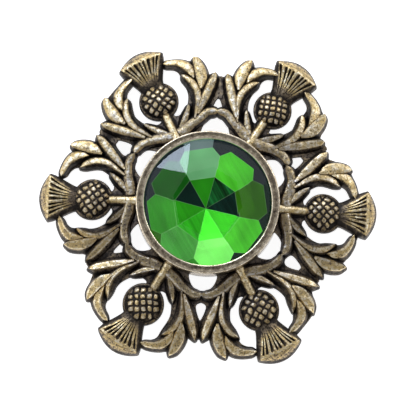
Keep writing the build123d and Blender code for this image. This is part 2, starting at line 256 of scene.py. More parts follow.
def add_mesh(name: str, surface: Surface, finish: bpy.types.Material,
             crease: float = 40.0) -> bpy.types.Object:
    """Makes an object at the origin from a surface in millimetres.

    Args:
        name: the object's name.
        surface: its points, faces and patina.
        finish: its material.
        crease: angle in degrees past which an edge is sharp.

    Returns:
        The new object, in the scene.
    """
    mesh = bpy.data.meshes.new(name)
    mesh.from_pydata((surface.points * MILLIMETRE).tolist(), [], surface.faces)
    patina = mesh.attributes.new("patina", "FLOAT", "POINT")
    patina.data.foreach_set("value", surface.patina.astype(np.float32))
    mesh.materials.append(finish)
    mesh.shade_smooth()
    mesh.set_sharp_from_angle(angle=math.radians(crease))
    mesh.update()
    piece = bpy.data.objects.new(name, mesh)
    bpy.context.scene.collection.objects.link(piece)
    return piece


def add_node(tree: bpy.types.NodeTree, kind: str, inputs: dict | tuple = (), **settings) -> bpy.types.Node:
    """Adds a node, sets it and links it.

    Args:
        tree: the material's nodes.
        kind: the node's type.
        inputs: a socket to link or a value to set for each input, by name or number, or
            without them in the order of the node's inputs.
        settings: the node's own properties; stops is a ramp's list of place and value.

    Returns:
        The new node.
    """
    node = tree.nodes.new(kind)
    stops = settings.pop("stops", None)
    for key, value in settings.items():
        setattr(node, key, value)
    if stops:
        ramp = node.color_ramp
        while len(ramp.elements) < len(stops):
            ramp.elements.new(1.0)
        for element, (place, value) in zip(ramp.elements, stops):
            element.position = place
            element.color = linear(value) if isinstance(value, str) else (value, value, value, 1.0)
    for key, value in (inputs.items() if isinstance(inputs, dict) else enumerate(inputs)):
        if isinstance(value, bpy.types.NodeSocket):
            tree.links.new(value, node.inputs[key])
        else:
            node.inputs[key].default_value = value
    return node


# Finishes

@dataclass(frozen=True)
class Finish:
    """A finish: its name, and nodes that a subclass gives it."""
    name: str

    def shader(self, tree: bpy.types.NodeTree) -> bpy.types.Node:
        """Builds the finish's nodes and gives the last one."""
        raise NotImplementedError

    def material(self) -> bpy.types.Material:
        """Makes the material.

        Returns:
            The material, named as the finish.
        """
        material = bpy.data.materials.new(self.name)
        material.use_nodes = True
        material.node_tree.nodes.clear()
        shader = self.shader(material.node_tree)
        add_node(material.node_tree, "ShaderNodeOutputMaterial", {"Surface": shader.outputs[0]})
        return material


@dataclass(frozen=True)
class Metal(Finish):
    """A metal skin with a fine relief, which the bump gives."""
    metallic: float = 0.95
    bump_strength: float = 0.2
    bump_depth: float = 0.03        # millimetres

    def skin(self, tree: bpy.types.NodeTree, colour: bpy.types.NodeSocket,
             roughness: bpy.types.NodeSocket | float, height: bpy.types.NodeSocket) -> bpy.types.Node:
        """Builds the last nodes of a metal: its colour, roughness and relief.

        Args:
            tree: the material's nodes.
            colour: the metal's colour.
            roughness: its roughness.
            height: its relief, where 1 is the bump's whole depth.

        Returns:
            The last node.
        """
        bump = add_node(tree, "ShaderNodeBump", {
            "Height": height, "Strength": self.bump_strength, "Distance": self.bump_depth * MILLIMETRE})
        return add_node(tree, "ShaderNodeBsdfPrincipled", {
            "Base Color": colour, "Roughness": roughness, "Metallic": self.metallic,
            "Normal": bump.outputs[0]})


@dataclass(frozen=True)
class Brass(Metal):
    """Brass under a patina, from rubbed bright through gold and brown to black."""
    rubbed: str = "#FFF3D6"
    gold: str = "#DEC388"
    brown: str = "#8E7E68"
    black: str = "#393430"
    levels: tuple[float, ...] = (0.0, 0.22, 0.62, 1.0)      # patina at which the four colours stand

    def tarnished(self, tree: bpy.types.NodeTree,
                  uneven: bpy.types.NodeSocket) -> tuple[bpy.types.NodeSocket, bpy.types.NodeSocket]:
        """The patina attribute with an unevenness added, and the colour that it stands for.

        Args:
            tree: the material's nodes.
            uneven: what is added to the patina.

        Returns:
            The patina, from 0 to 1, and the colour.
        """
        patina = add_node(tree, "ShaderNodeAttribute", attribute_name="patina").outputs["Fac"]
        level = add_node(tree, "ShaderNodeMath", (patina, uneven), operation="ADD", use_clamp=True)
        colour = add_node(tree, "ShaderNodeValToRGB", (level.outputs[0],), stops=list(
            zip(self.levels, (self.rubbed, self.gold, self.brown, self.black))))
        return level.outputs[0], colour.outputs["Color"]


@dataclass(frozen=True)
class AntiqueBrass(Brass):
    """Die-cast zinc alloy plated with brass, blackened and rubbed back: the recesses stay
    black and dull, the ridges are rubbed to pale gold, and dull brown lies between.
    Inner leaves were rubbed less, so they are greyer than the outer ones, in patches."""
    metallic: float = 0.92
    bump_strength: float = 0.9
    bump_depth: float = 0.08
    grey: str = "#D2D8F0"           # what the inner metal is multiplied by
    grey_inside: float = 16.0       # millimetres from the stone's axis, where the metal is greyest
    gold_outside: float = 27.5      # and where it is most golden
    rubbed_roughness: float = 0.30
    black_roughness: float = 0.50
    blotch: float = 1.0             # millimetres, of the uneven patina
    speck: float = 0.36             # millimetres, of its fine breakup
    wobble: float = 1.2             # millimetres, of the skin's slow unevenness and the grey patches
    pit: float = 0.6                # millimetres, between small casting pits
    pit_radius: float = 0.2         # of a pit, as a share of that distance
    pit_depth: float = 0.4          # share of the bump's depth
    grain: float = 0.25             # millimetres, of the cast skin, coarser than real so that it shows
    blotch_swing: tuple[float, float] = (0.9, -0.47)    # what a noise is multiplied by, and what is added
    speck_swing: tuple[float, float] = (3.2, -1.68)
    patch_swing: tuple[float, float] = (1.6, -0.80)
    wobble_share: float = 1.5       # of the slow unevenness in the bump, beside the grain's 1

    def shader(self, tree: bpy.types.NodeTree) -> bpy.types.Node:
        """Mixes four colours by the patina attribute, with noise on it, and roughens the black.

        Args:
            tree: the material's nodes.

        Returns:
            The last node.
        """
        place = add_node(tree, "ShaderNodeTexCoord").outputs["Object"]
        noises = ((self.blotch, 4.0), (self.speck, 3.0), (self.wobble, 1.0), (self.grain, 2.0))
        blotch, speck, slow, grain = (add_node(tree, "ShaderNodeTexNoise", {
            "Vector": place, "Scale": per_metre(size), "Detail": detail}) for size, detail in noises)
        broad = add_node(tree, "ShaderNodeMath", (blotch.outputs["Fac"], *self.blotch_swing),
                         operation="MULTIPLY_ADD")
        fine = add_node(tree, "ShaderNodeMath", (speck.outputs["Fac"], *self.speck_swing),
                        operation="MULTIPLY_ADD", use_clamp=True)
        uneven = add_node(tree, "ShaderNodeMath", (broad.outputs[0], fine.outputs[0]), operation="ADD")
        level, colour = self.tarnished(tree, uneven.outputs[0])
        across = add_node(tree, "ShaderNodeVectorMath", (place, (1.0, 1.0, 0.0)), operation="MULTIPLY")
        radius = add_node(tree, "ShaderNodeVectorMath", (across.outputs[0],), operation="LENGTH")
        inside = add_node(tree, "ShaderNodeMapRange", {
            "Value": radius.outputs["Value"], "From Min": self.grey_inside * MILLIMETRE,
            "From Max": self.gold_outside * MILLIMETRE, "To Min": 1.0, "To Max": 0.0})
        patchy = add_node(tree, "ShaderNodeMath", (slow.outputs["Fac"], *self.patch_swing),
                          operation="MULTIPLY_ADD")
        share = add_node(tree, "ShaderNodeMath", (inside.outputs[0], patchy.outputs[0]), operation="ADD",
                         use_clamp=True)
        greyed = add_node(tree, "ShaderNodeMix", {
            0: share.outputs[0], 6: colour, 7: linear(self.grey)}, data_type="RGBA", blend_type="MULTIPLY")
        rough = add_node(tree, "ShaderNodeMapRange", {
            "Value": level, "To Min": self.rubbed_roughness, "To Max": self.black_roughness})
        pits = add_node(tree, "ShaderNodeTexVoronoi", {"Vector": place, "Scale": per_metre(self.pit)})
        hole = add_node(tree, "ShaderNodeMapRange", {
            "Value": pits.outputs["Distance"], "From Min": 0.0, "From Max": self.pit_radius,
            "To Min": -self.pit_depth, "To Max": 0.0})
        skin = add_node(tree, "ShaderNodeMath", (grain.outputs["Fac"], hole.outputs[0]), operation="ADD")
        height = add_node(tree, "ShaderNodeMath", (slow.outputs["Fac"], self.wobble_share, skin.outputs[0]),
                          operation="MULTIPLY_ADD")
        return self.skin(tree, greyed.outputs[2], rough.outputs[0], height.outputs[0])


@dataclass(frozen=True)
class TurnedBrass(Brass):
    """Brass-plated strip turned over the stone, browned and rubbed bright on its two edges:
    fine scratches run round it."""
    rubbed: str = "#FFF2DC"
    gold: str = "#E0CFB2"
    brown: str = "#A69682"
    black: str = "#3E3830"
    levels: tuple[float, ...] = (0.0, 0.30, 0.60, 0.95)
    bump_strength: float = 0.12
    roughness: float = 0.26
    blotch: float = 0.8             # millimetres, of the uneven browning
    blotch_swing: tuple[float, float] = (2.3, -1.15)    # what its noise is multiplied by, and what is added
    scratch: float = 0.18           # millimetres, between scratches, coarser than real so that they show

    def shader(self, tree: bpy.types.NodeTree) -> bpy.types.Node:
        """Mixes four colours by the patina attribute, with noise on it and scratches as bump.

        Args:
            tree: the material's nodes.

        Returns:
            The last node.
        """
        place = add_node(tree, "ShaderNodeTexCoord").outputs["Object"]
        blotch = add_node(tree, "ShaderNodeTexNoise",
                          {"Vector": place, "Scale": per_metre(self.blotch), "Detail": 5.0, "Roughness": 0.7})
        uneven = add_node(tree, "ShaderNodeMath", (blotch.outputs["Fac"], *self.blotch_swing),
                          operation="MULTIPLY_ADD")
        colour = self.tarnished(tree, uneven.outputs[0])[1]
        rings = add_node(tree, "ShaderNodeTexWave", {
            "Vector": place, "Scale": waves_per_metre(self.scratch), "Distortion": 1.5, "Detail": 2.0},
            wave_type="RINGS", rings_direction="Z")
        return self.skin(tree, colour, self.roughness, rings.outputs["Fac"])


@dataclass(frozen=True)
class PolishedGlass(Finish):
    """Pressed and polished soda-lime glass, clear with a green tint: it mirrors the lights
    sharply and shows the foil inside it."""
    tint: str = "#F4FFF4"
    roughness: float = 0.01
    ior: float = 1.52

    def shader(self, tree: bpy.types.NodeTree) -> bpy.types.Node:
        """Plain clear glass."""
        return add_node(tree, "ShaderNodeBsdfPrincipled", {
            "Base Color": linear(self.tint), "Roughness": self.roughness, "IOR": self.ior,
            "Transmission Weight": 1.0})


@dataclass(frozen=True)
class GreenFoil(Finish):
    """Green lacquered mirror foil on the stone's back. A facet throws back the light that
    falls in through the whole stone, and each facet is painted with that light as a tone of
    its own, the same from every side: painted light. Part of that is given as a glow, a
    painted glow, since the foil is no lamp, and the rest is a soft mirror. Faint polishing
    lines run over the facets, and they are noise drawn out along one direction."""
    stripe: float = 0.55            # millimetres, between polishing lines, coarser than real so they show
    stripe_turn: float = 32.0       # degrees, of the direction across the lines
    stripe_length: float = 30.0     # times the distance between them
    stripe_swing: tuple[float, float] = (2.6, -1.3)     # what a noise is multiplied by, and what is added
    cloud: float = 6.0              # millimetres, over which a facet grows lighter and darker
    cloud_swing: tuple[float, float] = (0.9, 0.55)
    # the glow is painted light: the foil glows though it is no lamp
    glow: float = 0.85
    mirror: float = 0.4             # share of the tone that the mirror throws back
    roughness: float = 0.25

    def shader(self, tree: bpy.types.NodeTree) -> bpy.types.Node:
        """The facet's painted light from an attribute, varied by soft noise and crossed by lines
        as strongly as another attribute says.

        Args:
            tree: the material's nodes.

        Returns:
            The last node.
        """
        place = add_node(tree, "ShaderNodeTexCoord").outputs["Object"]
        tone = add_node(tree, "ShaderNodeAttribute", attribute_name="tone").outputs["Color"]
        lined = add_node(tree, "ShaderNodeAttribute", attribute_name="lined").outputs["Fac"]
        cloud = add_node(tree, "ShaderNodeTexNoise",
                         {"Vector": place, "Scale": per_metre(self.cloud), "Detail": 1.0})
        drawn = add_node(tree, "ShaderNodeMapping", {
            "Vector": place, "Rotation": (0.0, 0.0, math.radians(self.stripe_turn)),
            "Scale": (1.0, self.stripe_length, self.stripe_length)}, vector_type="TEXTURE")
        lines = add_node(tree, "ShaderNodeTexNoise", {
            "Vector": drawn.outputs[0], "Scale": per_metre(self.stripe), "Detail": 2.0})
        centred = add_node(tree, "ShaderNodeMath", (lines.outputs["Fac"], *self.stripe_swing),
                           operation="MULTIPLY_ADD")
        shade = add_node(tree, "ShaderNodeMath", (centred.outputs[0], lined), operation="MULTIPLY")
        light = add_node(tree, "ShaderNodeMath", (cloud.outputs["Fac"], *self.cloud_swing),
                         operation="MULTIPLY_ADD")
        amount = add_node(tree, "ShaderNodeMath", (light.outputs[0], shade.outputs[0]), operation="ADD")
        varied = add_node(tree, "ShaderNodeMix", {
            0: 1.0, 6: tone, 7: amount.outputs[0]}, data_type="RGBA", blend_type="MULTIPLY")
        mirrored = add_node(tree, "ShaderNodeMix", {
            0: self.mirror, 6: (0.0, 0.0, 0.0, 1.0), 7: varied.outputs[2]}, data_type="RGBA")
        return add_node(tree, "ShaderNodeBsdfPrincipled", {
            "Base Color": mirrored.outputs[2], "Roughness": self.roughness, "Metallic": 1.0,
            "Emission Color": varied.outputs[2], "Emission Strength": self.glow})


@dataclass(frozen=True)
class DullPlate(Metal):
    """Pressed steel strip and drawn wire with dull brass plating: fine lines along the strip."""
    colour: str = "#9A8A68"
    worn: str = "#6E6552"
    line: float = 0.25              # millimetres, between draw lines, coarser than real so that they show
    line_length: float = 20.0       # times the distance between them
    roughness: float = 0.4

    def shader(self, tree: bpy.types.NodeTree) -> bpy.types.Node:
        """Two browns mixed by stretched noise.

        Args:
            tree: the material's nodes.

        Returns:
            The last node.
        """
        place = add_node(tree, "ShaderNodeTexCoord").outputs["Object"]
        along = add_node(tree, "ShaderNodeMapping", {
            "Vector": place, "Scale": (1.0 / self.line_length, 1.0, 1.0)})
        lines = add_node(tree, "ShaderNodeTexNoise",
                         {"Vector": along.outputs[0], "Scale": per_metre(self.line), "Detail": 3.0})
        colour = add_node(tree, "ShaderNodeMix", {
            0: lines.outputs["Fac"], 6: linear(self.colour), 7: linear(self.worn)}, data_type="RGBA")
        return self.skin(tree, colour.outputs[2], self.roughness, lines.outputs["Fac"])


@dataclass(frozen=True)
class LightTable(Finish):
    """Matt white acrylic of a light table, lit from below, so that nothing on it casts a shadow."""
    colour: str = "#F6F6F6"
    light: str = "#FFFFFF"
    glow: float = 0.9
    roughness: float = 0.9
    sheen: float = 0.1              # specular level

    def shader(self, tree: bpy.types.NodeTree) -> bpy.types.Node:
        """Matt white with an even glow."""
        return add_node(tree, "ShaderNodeBsdfPrincipled", {
            "Base Color": linear(self.colour), "Roughness": self.roughness, "Specular IOR Level": self.sheen,
            "Emission Color": linear(self.light), "Emission Strength": self.glow})


# Sub-assemblies

@dataclass(frozen=True)
class Flower:
    """How far a flower of the hand-finished pattern is out of its regular place."""
    index: int
    turn: float                 # degrees round the stone
    spread: float               # degrees, how much further its leaves stand from it
    stretch: float              # share of the distance from the setting to the flower tip
    knob_turn: float            # degrees, of its rows of knobs to its stem
    knob_pitch: float           # millimetres
    overrun: float = 0.0        # millimetres, how far its tuft passes the regular tip
    swell: float = 1.0          # share of the regular bulb's width
    sway: float = 0.0           # millimetres, of the tuft's tip across the stem
    shift: tuple[float, float] = (0.0, 0.0)     # millimetres, of its bulb along and across the stem
    knots: tuple[float, float] = (0.0, 0.0)     # reach, how much further out the branches join, side 1 and -1
    gaps: tuple[float, float] = (0.0, 0.0)      # reach, of the three-cornered holes, side 1 and -1
    points: tuple[float, float] = (0.2, 0.2)    # how pointed its leaves are, from 0 to 1, side 1 and -1
    slim: tuple[int, int] = (0, 0)              # how much narrower the leaves' faces are at either edge
    painted_face_shade: tuple[float, float] = (0.0, 0.0)   # painted shade on the leaves' faces on the key lamp's side, at the upper left, and painted light, below 0, on the far side; side 1 and -1
    soft: tuple[float, float] = (0.0, 0.0)      # how rounded the leaves are, and how much their faces carry a painted highlight down the middle, from 0 to 1, side 1 and -1

    def side(self, pair: tuple[float, float], side: int) -> float:
        """The value of a pair for side 1 or -1."""
        return pair[0] if side > 0 else pair[1]


@dataclass(frozen=True)
class Leaf:
    """A leaf: heights as shares of the leaf's crest, and its cross-sections from root to tip
    as bearing in degrees, reach from the setting to the flower tip, and share of the width,
    measured at its foot. Its face lies between two steep flanks.
    The pattern was cut by hand, so some leaves are moved in bearing and reach: moved holds
    that by the flower's index and the side."""
    edge: float
    crest: float
    near: int                   # where the face's high edge lies, from -10 at the foot nearer the stem to 10
    far: int                    # and where its low edge lies
    sharp: float                # how much of the section is faceted rather than a round arch
    shades: tuple[float, float, float]      # patina of the flank nearer the stem, the face and the far flank
    stations: tuple[tuple[float, float, float], ...]
    moved: dict[tuple[int, int], tuple[float, float]] = field(default_factory=dict)


@dataclass(frozen=True)
class Recess:
    """How places that lie below the metal round them are darkened, in millimetres."""
    spread: float               # of the bell curve that the heights are blurred with
    start: float                # depth below the blurred height where the patina starts
    full: float                 # and where it is at its most
    patina: float


@dataclass
class Wreath:
    """The casting: six thistles with leaves on a thin web, round the plate under the setting.
    Sizes are in millimetres, and shares are of the size that the comment or name gives."""
    span: float = 63.8
    dome_rise: float = 3.6
    foot_depth: float = 0.16
    piece_gap: float = 0.13
    leaf_width: float = 3.0
    leaf_crest: float = 2.5
    leaf_rows: int = 45             # points along a leaf
    half_section: int = 10          # and from its middle line to either foot
    leaf_end: float = 0.08          # half the width at the very tip
    leaf_least: float = 0.4         # share of its own width that is left after the room for the flare
    tip_start: float = 0.94         # share of a leaf's length where its tip starts to narrow
    tip_sooner: float = 0.15        # and how much sooner it does on a pointed leaf
    tip_end: float = 1.003
    tip_power: float = 0.5          # exponent of the tip's outline, 0.5 for a quarter circle
    tip_straighter: float = 0.3     # and what a pointed leaf adds to it
    softening: float = 0.5          # share of its faceting that a soft leaf loses
    full_width: float = 0.35        # share of the width from which a leaf has its full height
    narrow_height: float = 0.4      # share of its height where it has no width
    near_dark: tuple[float, float] = (0.06, 0.44)   # across the near flank, no patina yet and all of it
    far_dark: tuple[float, float] = (0.0, 0.38)     # and the same across the far flank
    face_fall: float = 0.3          # share of its height that a leaf's face falls from edge to edge
    flare: float = 0.30             # how far the foot of a leaf's flanks stands out
    foot_share: float = 0.7         # of the flare, that lies within the leaf's width
    web_thickness: float = 1.0
    web_patina: float = 0.62
    web_edge: tuple[tuple[float, float], ...] = (
        # how far in, and share of the web's thickness
        (0.0, 0.0), (0.0, 0.70), (0.05, 0.88), (0.15, 1.0))
    spray_lean: float = -0.6        # degrees
    bulb_reach: float = 0.458
    bulb_diameter: float = 7.7
    bulb_collar: float = 1.5
    bulb_grid: int = 121            # points across a bulb
    head_diameter: float = 6.7
    head_height: float = 3.5
    knob_height: float = 0.34
    knob_square: float = 3.2        # exponent of a knob's outline, 2 for a round one, more for a squarer one
    knob_drift: float = 0.16        # share of the pitch that the rows stray
    tuft_width: float = 9.2
    tuft_height: float = 3.5
    tuft_start: float = 0.35        # share of the bulb's diameter, from its middle
    tuft_columns: int = 113         # points across the ribbed face
    rib_count: int = 8
    rib_depth: float = 0.55
    stem_width: float = 2.4
    stem_height: float = 2.3
    stem_taper: float = 0.36        # share of its width that a stem loses on the way to the bulb
    stem_flare: float = 0.56        # and that it gains again close to it
    stem_rows: int = 26
    stem_columns: int = 13
    bezel_radius: float = 13.55
    seat_thickness: float = 0.8
    seat_patina: float = 0.9
    unevenness: float = 0.05
    uneven_length: float = 2.3      # of the longest wave of the unevenness
    recesses: tuple[Recess, ...] = (
        Recess(spread=0.75, start=-0.12, full=1.20, patina=0.74),
        Recess(spread=0.26, start=0.01, full=0.16, patina=1.0))
    flowers: tuple[Flower, ...] = (
        Flower(0, turn=0.5, spread=0.2, stretch=1.0, knob_turn=48.0, knob_pitch=1.10, overrun=0.22,
               swell=0.97, sway=0.25, shift=(0.0, -0.10), knots=(-0.02, 0.0), gaps=(-0.055, 0.0),
               points=(0.6, 1.0), slim=(0, 1), painted_face_shade=(-0.03, -0.07), soft=(0.5, 0.0)),
        Flower(1, turn=0.0, spread=-1.2, stretch=1.03, knob_turn=24.0, knob_pitch=1.08, overrun=0.25,
               swell=0.95, sway=0.12, knots=(0.05, 0.0), gaps=(-0.03, -0.055), points=(0.4, 0.3),
               painted_face_shade=(0.10, -0.05), soft=(0.8, 0.4)),
        Flower(2, turn=-1.5, spread=0.0, stretch=1.03, knob_turn=30.0, knob_pitch=1.14, overrun=0.05,
               swell=0.98, sway=-0.12, knots=(0.0, 0.05), gaps=(0.0, -0.03), painted_face_shade=(0.12, 0.10),
               soft=(1.0, 0.8)),
        Flower(3, turn=0.1, spread=0.7, stretch=1.0, knob_turn=38.0, knob_pitch=1.14, overrun=0.25,
               swell=1.01, knots=(-0.01, 0.0), gaps=(-0.07, 0.0), points=(0.8, 0.5), slim=(1, 0),
               painted_face_shade=(0.08, 0.10), soft=(0.0, 0.9)),
        Flower(4, turn=0.5, spread=0.5, stretch=1.045, knob_turn=33.0, knob_pitch=1.18, swell=1.03,
               sway=-0.20, gaps=(0.02, -0.07), points=(0.8, 0.8), slim=(1, 1), painted_face_shade=(-0.05, 0.0)),
        Flower(5, turn=0.0, spread=0.2, stretch=1.045, knob_turn=34.0, knob_pitch=1.20, overrun=-0.15,
               sway=0.12, shift=(-0.25, -0.10), knots=(-0.015, 0.0), gaps=(0.0, 0.02),
               points=(1.0, 0.8), slim=(1, 1), painted_face_shade=(-0.07, -0.07)))
    leaves: tuple[Leaf, ...] = (
        # arch from the flower's shoulder round the opening
        Leaf(edge=0.60, crest=1.08, near=-3, far=6, sharp=0.88, shades=(0.86, 0.30, 0.76), stations=(
            (18.0, 0.592, 0.25), (17.0, 0.660, 0.85), (15.1, 0.726, 0.95), (11.9, 0.774, 0.73),
            (6.6, 0.808, 0.55)), moved={
                (3, -1): (0.2, 0.010), (5, -1): (0.0, 0.012), (2, 1): (-0.7, -0.015),
                (5, 1): (-0.6, -0.015), (0, 1): (-0.3, -0.010), (4, -1): (-0.3, 0.0)}),
        # outer pointed leaf
        Leaf(edge=0.60, crest=1.12, near=-4, far=6, sharp=0.88, shades=(0.86, 0.30, 0.76), stations=(
            (21.3, 0.470, 0.38), (21.6, 0.580, 1.07), (20.7, 0.700, 1.00), (19.3, 0.815, 0.50)), moved={
                (0, 1): (-1.5, -0.005), (5, 1): (-1.0, -0.020), (4, -1): (-1.6, 0.0),
                (1, -1): (-0.9, -0.018), (4, 1): (-0.6, 0.024), (1, 1): (-0.5, 0.030),
                (0, -1): (0.6, 0.020), (5, -1): (-0.5, 0.010), (3, 1): (-1.1, -0.005),
                (2, 1): (-0.3, -0.010), (2, -1): (-0.4, 0.008), (3, -1): (0.0, 0.015)}),
        # diagonal leaf beside the next flower's leaves
        Leaf(edge=0.60, crest=1.10, near=-3, far=4, sharp=0.86, shades=(0.80, 0.24, 0.70), stations=(
            (18.6, 0.215, 0.43), (22.2, 0.345, 0.89), (25.0, 0.470, 0.99), (27.0, 0.580, 0.83),
            (28.0, 0.650, 0.48)), moved={
                (1, 1): (-0.9, 0.0), (0, -1): (0.3, 0.022), (2, -1): (-0.4, 0.0),
                (5, 1): (0.0, 0.012), (1, -1): (0.0, -0.020), (0, 1): (0.0, -0.020),
                (3, -1): (0.0, -0.015), (4, -1): (0.0, -0.005)}),
        # curved blade beside the bulb
        Leaf(edge=0.60, crest=1.08, near=-2, far=4, sharp=0.86, shades=(0.80, 0.24, 0.70), stations=(
            (15.2, 0.175, 0.41), (18.1, 0.350, 0.79), (17.9, 0.470, 0.91), (15.7, 0.565, 0.85),
            (12.2, 0.652, 0.55)), moved={
                (1, -1): (0.2, -0.035), (0, -1): (0.3, 0.0), (4, 1): (1.2, 0.015), (3, 1): (0.6, 0.0),
                (3, -1): (-0.3, 0.0), (1, 1): (0.8, 0.0), (2, -1): (0.6, 0.0), (0, 1): (-0.3, 0.0),
                (4, -1): (0.5, 0.0), (5, 1): (0.2, 0.0)}),
        # small leaflet at the foot of the stem
        Leaf(edge=0.56, crest=0.92, near=-3, far=4, sharp=0.76, shades=(0.70, 0.30, 0.62), stations=(
            (5.2, 0.120, 0.47), (9.8, 0.200, 0.77), (14.0, 0.335, 0.37))),
        # branch that meets the next flower's branch
        Leaf(edge=0.56, crest=0.94, near=-4, far=5, sharp=0.50, shades=(0.64, 0.40, 0.70), stations=(
            (2.6, 0.070, 0.95), (8.0, 0.090, 1.05), (13.0, 0.125, 0.99), (18.6, 0.165, 0.89),
            (24.6, 0.195, 0.83), (31.0, 0.190, 0.69))))
    web_outline: tuple[tuple[float, float], ...] = (
        # bearing and reach
        (-3.0, -0.050), (17.4, -0.050), (18.2, 0.010), (20.1, 0.064), (22.8, 0.110), (26.6, 0.142),
        (32.0, 0.154), (32.0, 0.226), (27.4, 0.254), (26.8, 0.302), (29.2, 0.410), (32.0, 0.426),
        (31.4, 0.600), (28.6, 0.620), (25.6, 0.610), (22.4, 0.700), (19.0, 0.770), (15.6, 0.800),
        (6.4, 0.850), (7.4, 0.762), (10.0, 0.730), (12.0, 0.685), (12.8, 0.600), (14.2, 0.480),
        (14.0, 0.400), (12.4, 0.322), (9.4, 0.276), (7.0, 0.254), (4.6, 0.260), (3.2, 0.300),
        (-3.0, 0.330))
    tuft_rows: tuple[tuple[float, ...], ...] = (
        # along, flank, fan, height, edge, ribs, bow
        (0.00, 0.50, 0.23, 0.62, 0.30, 0.6, 0.00), (0.14, 0.56, 0.31, 0.70, 0.34, 1.0, 0.00),
        (0.44, 0.80, 0.54, 0.86, 0.38, 1.0, 0.01), (0.62, 0.93, 0.71, 0.96, 0.42, 1.0, 0.03),
        (0.71, 0.97, 0.80, 1.00, 0.44, 0.8, 0.04), (0.76, 0.99, 0.84, 1.00, 0.46, 0.0, 0.05),
        (0.81, 1.00, 0.87, 0.96, 0.46, 0.0, 0.08), (0.91, 0.99, 0.88, 0.80, 0.42, 0.0, 0.15),
        (1.00, 0.96, 0.84, 0.46, 0.30, 0.0, 0.22))

    @property
    def reach_length(self) -> float:
        """From the setting to the flower tip."""
        return self.span / 2 - self.bezel_radius

    @property
    def seat_bottom(self) -> float:
        """Height of the underside of the plate under the setting."""
        return self.dome_rise - self.foot_depth

    def radius(self, flower: Flower, reach: np.ndarray | float) -> np.ndarray | float:
        """Distance from the stone's axis, for a reach of 0 at the setting and 1 at the tip."""
        return self.bezel_radius + reach * flower.stretch * self.reach_length

    def back(self, flower: Flower, x: np.ndarray) -> np.ndarray:
        """Height of the casting's back, which falls evenly from the setting to the flower tip."""
        tip = self.radius(flower, 1.0)
        return self.dome_rise * (tip - x) / (tip - self.bezel_radius) - self.foot_depth

    def place(self, flower: Flower, table: np.ndarray, side: int) -> np.ndarray:
        """Plan points from bearings and reaches: the reach gives the radius and the bearing,
        mirrored by side and leaned a little, gives the angle. Halfway to the next flower, the
        knot near the setting and the hole beyond it are moved by the flower's own amounts.

        Args:
            flower: the flower, on +X.
            table: rows of bearing in degrees and reach, and perhaps more.
            side: 1 or -1.

        Returns:
            Rows of x and y.
        """
        beside, reach = table[:, 0], table[:, 1]
        knot = flower.side(flower.knots, side) * smooth_step(16.0, 28.0, beside)
        gap = flower.side(flower.gaps, side) * (smooth_step(25.0, 27.0, beside)
                                                * smooth_step(0.20, 0.24, reach)
                                                * smooth_step(0.50, 0.44, reach))
        moved = reach + knot * smooth_step(0.30, 0.24, reach) + gap
        turn = np.radians(self.spray_lean + side * (table[:, 0] + flower.spread))
        return polar(self.radius(flower, moved), turn)

    def turned(self, surface: Surface, flower: Flower) -> Surface:
        """Turns a flower's surface into its place, keeps it above the ground and out of the
        setting's room.

        Args:
            surface: a closed surface beside +X.
            flower: the flower that it belongs to.

        Returns:
            The surface in its place.
        """
        x, y, z = surface.points.T
        turn = math.radians(60 * flower.index + flower.turn)
        room = np.hypot(x, y) < self.bezel_radius + self.piece_gap
        z = np.where(room, np.minimum(z, self.seat_bottom + self.seat_thickness), z)
        z = np.maximum(z, 0.0)
        points = np.column_stack([x * math.cos(turn) - y * math.sin(turn),
                                  x * math.sin(turn) + y * math.cos(turn), z])
        return Surface(points, surface.faces, surface.patina)

    def raised(self, flower: Flower, plan: np.ndarray, height: np.ndarray, patina: np.ndarray,
               flare: float = 0.0) -> Surface:
        """Closed relief over a grid in plan, whose heights count from the casting's back, turned
        into the flower's place. Its upper side is a little uneven.

        Args:
            flower: the flower that it belongs to.
            plan: rows by columns by x and y, with the flower on +X.
            height: rows by columns of the height over the back.
            patina: rows by columns of the patina.
            flare: how far out the flanks' foot lies.

        Returns:
            The surface in its place.
        """
        x, y = plan[..., 0], plan[..., 1]
        back = self.back(flower, x)
        wave = self.unevenness * waver(x, y + 9.0 * flower.index, self.uneven_length)
        top = np.dstack([x, y, back + height + wave * smooth_step(0.5, 1.5, height)])
        return self.turned(relief(top, back, patina, flare), flower)

    def leaf_path(self, flower: Flower, shape: Leaf, side: int) -> tuple[np.ndarray, np.ndarray]:
        """A leaf's middle line as a smooth curve at even steps, and half its width along it.
        Towards the tip the width falls as a quarter circle, or nearer a straight line on the
        flowers whose leaves are pointed.

        Args:
            flower: the flower that it belongs to.
            shape: the leaf.
            side: 1 or -1.

        Returns:
            The plan points and the half widths.
        """
        foot_room = self.foot_share * self.flare
        table = np.array(shape.stations) + [*shape.moved.get((flower.index, side), (0.0, 0.0)), 0.0]
        curve = curve_through(np.column_stack([self.place(flower, table, side), table[:, 2]]), 12)
        walked = np.concatenate([[0.0], np.cumsum(np.hypot(*np.diff(curve[:, :2], axis=0).T))])
        along = np.linspace(0, 1, self.leaf_rows)
        x, y, width = (np.interp(along * (walked[-1] - foot_room), walked, column) for column in curve.T)
        point = flower.side(flower.points, side)
        start, power = self.tip_start - self.tip_sooner * point, self.tip_power + self.tip_straighter * point
        tip = (1 - np.clip((along - start) / (self.tip_end - start), 0, 1) ** 2) ** power
        foot = width * self.leaf_width / 2
        half = np.maximum(np.maximum(foot - foot_room, self.leaf_least * foot) * tip, self.leaf_end)
        return np.column_stack([x, y, width]), half

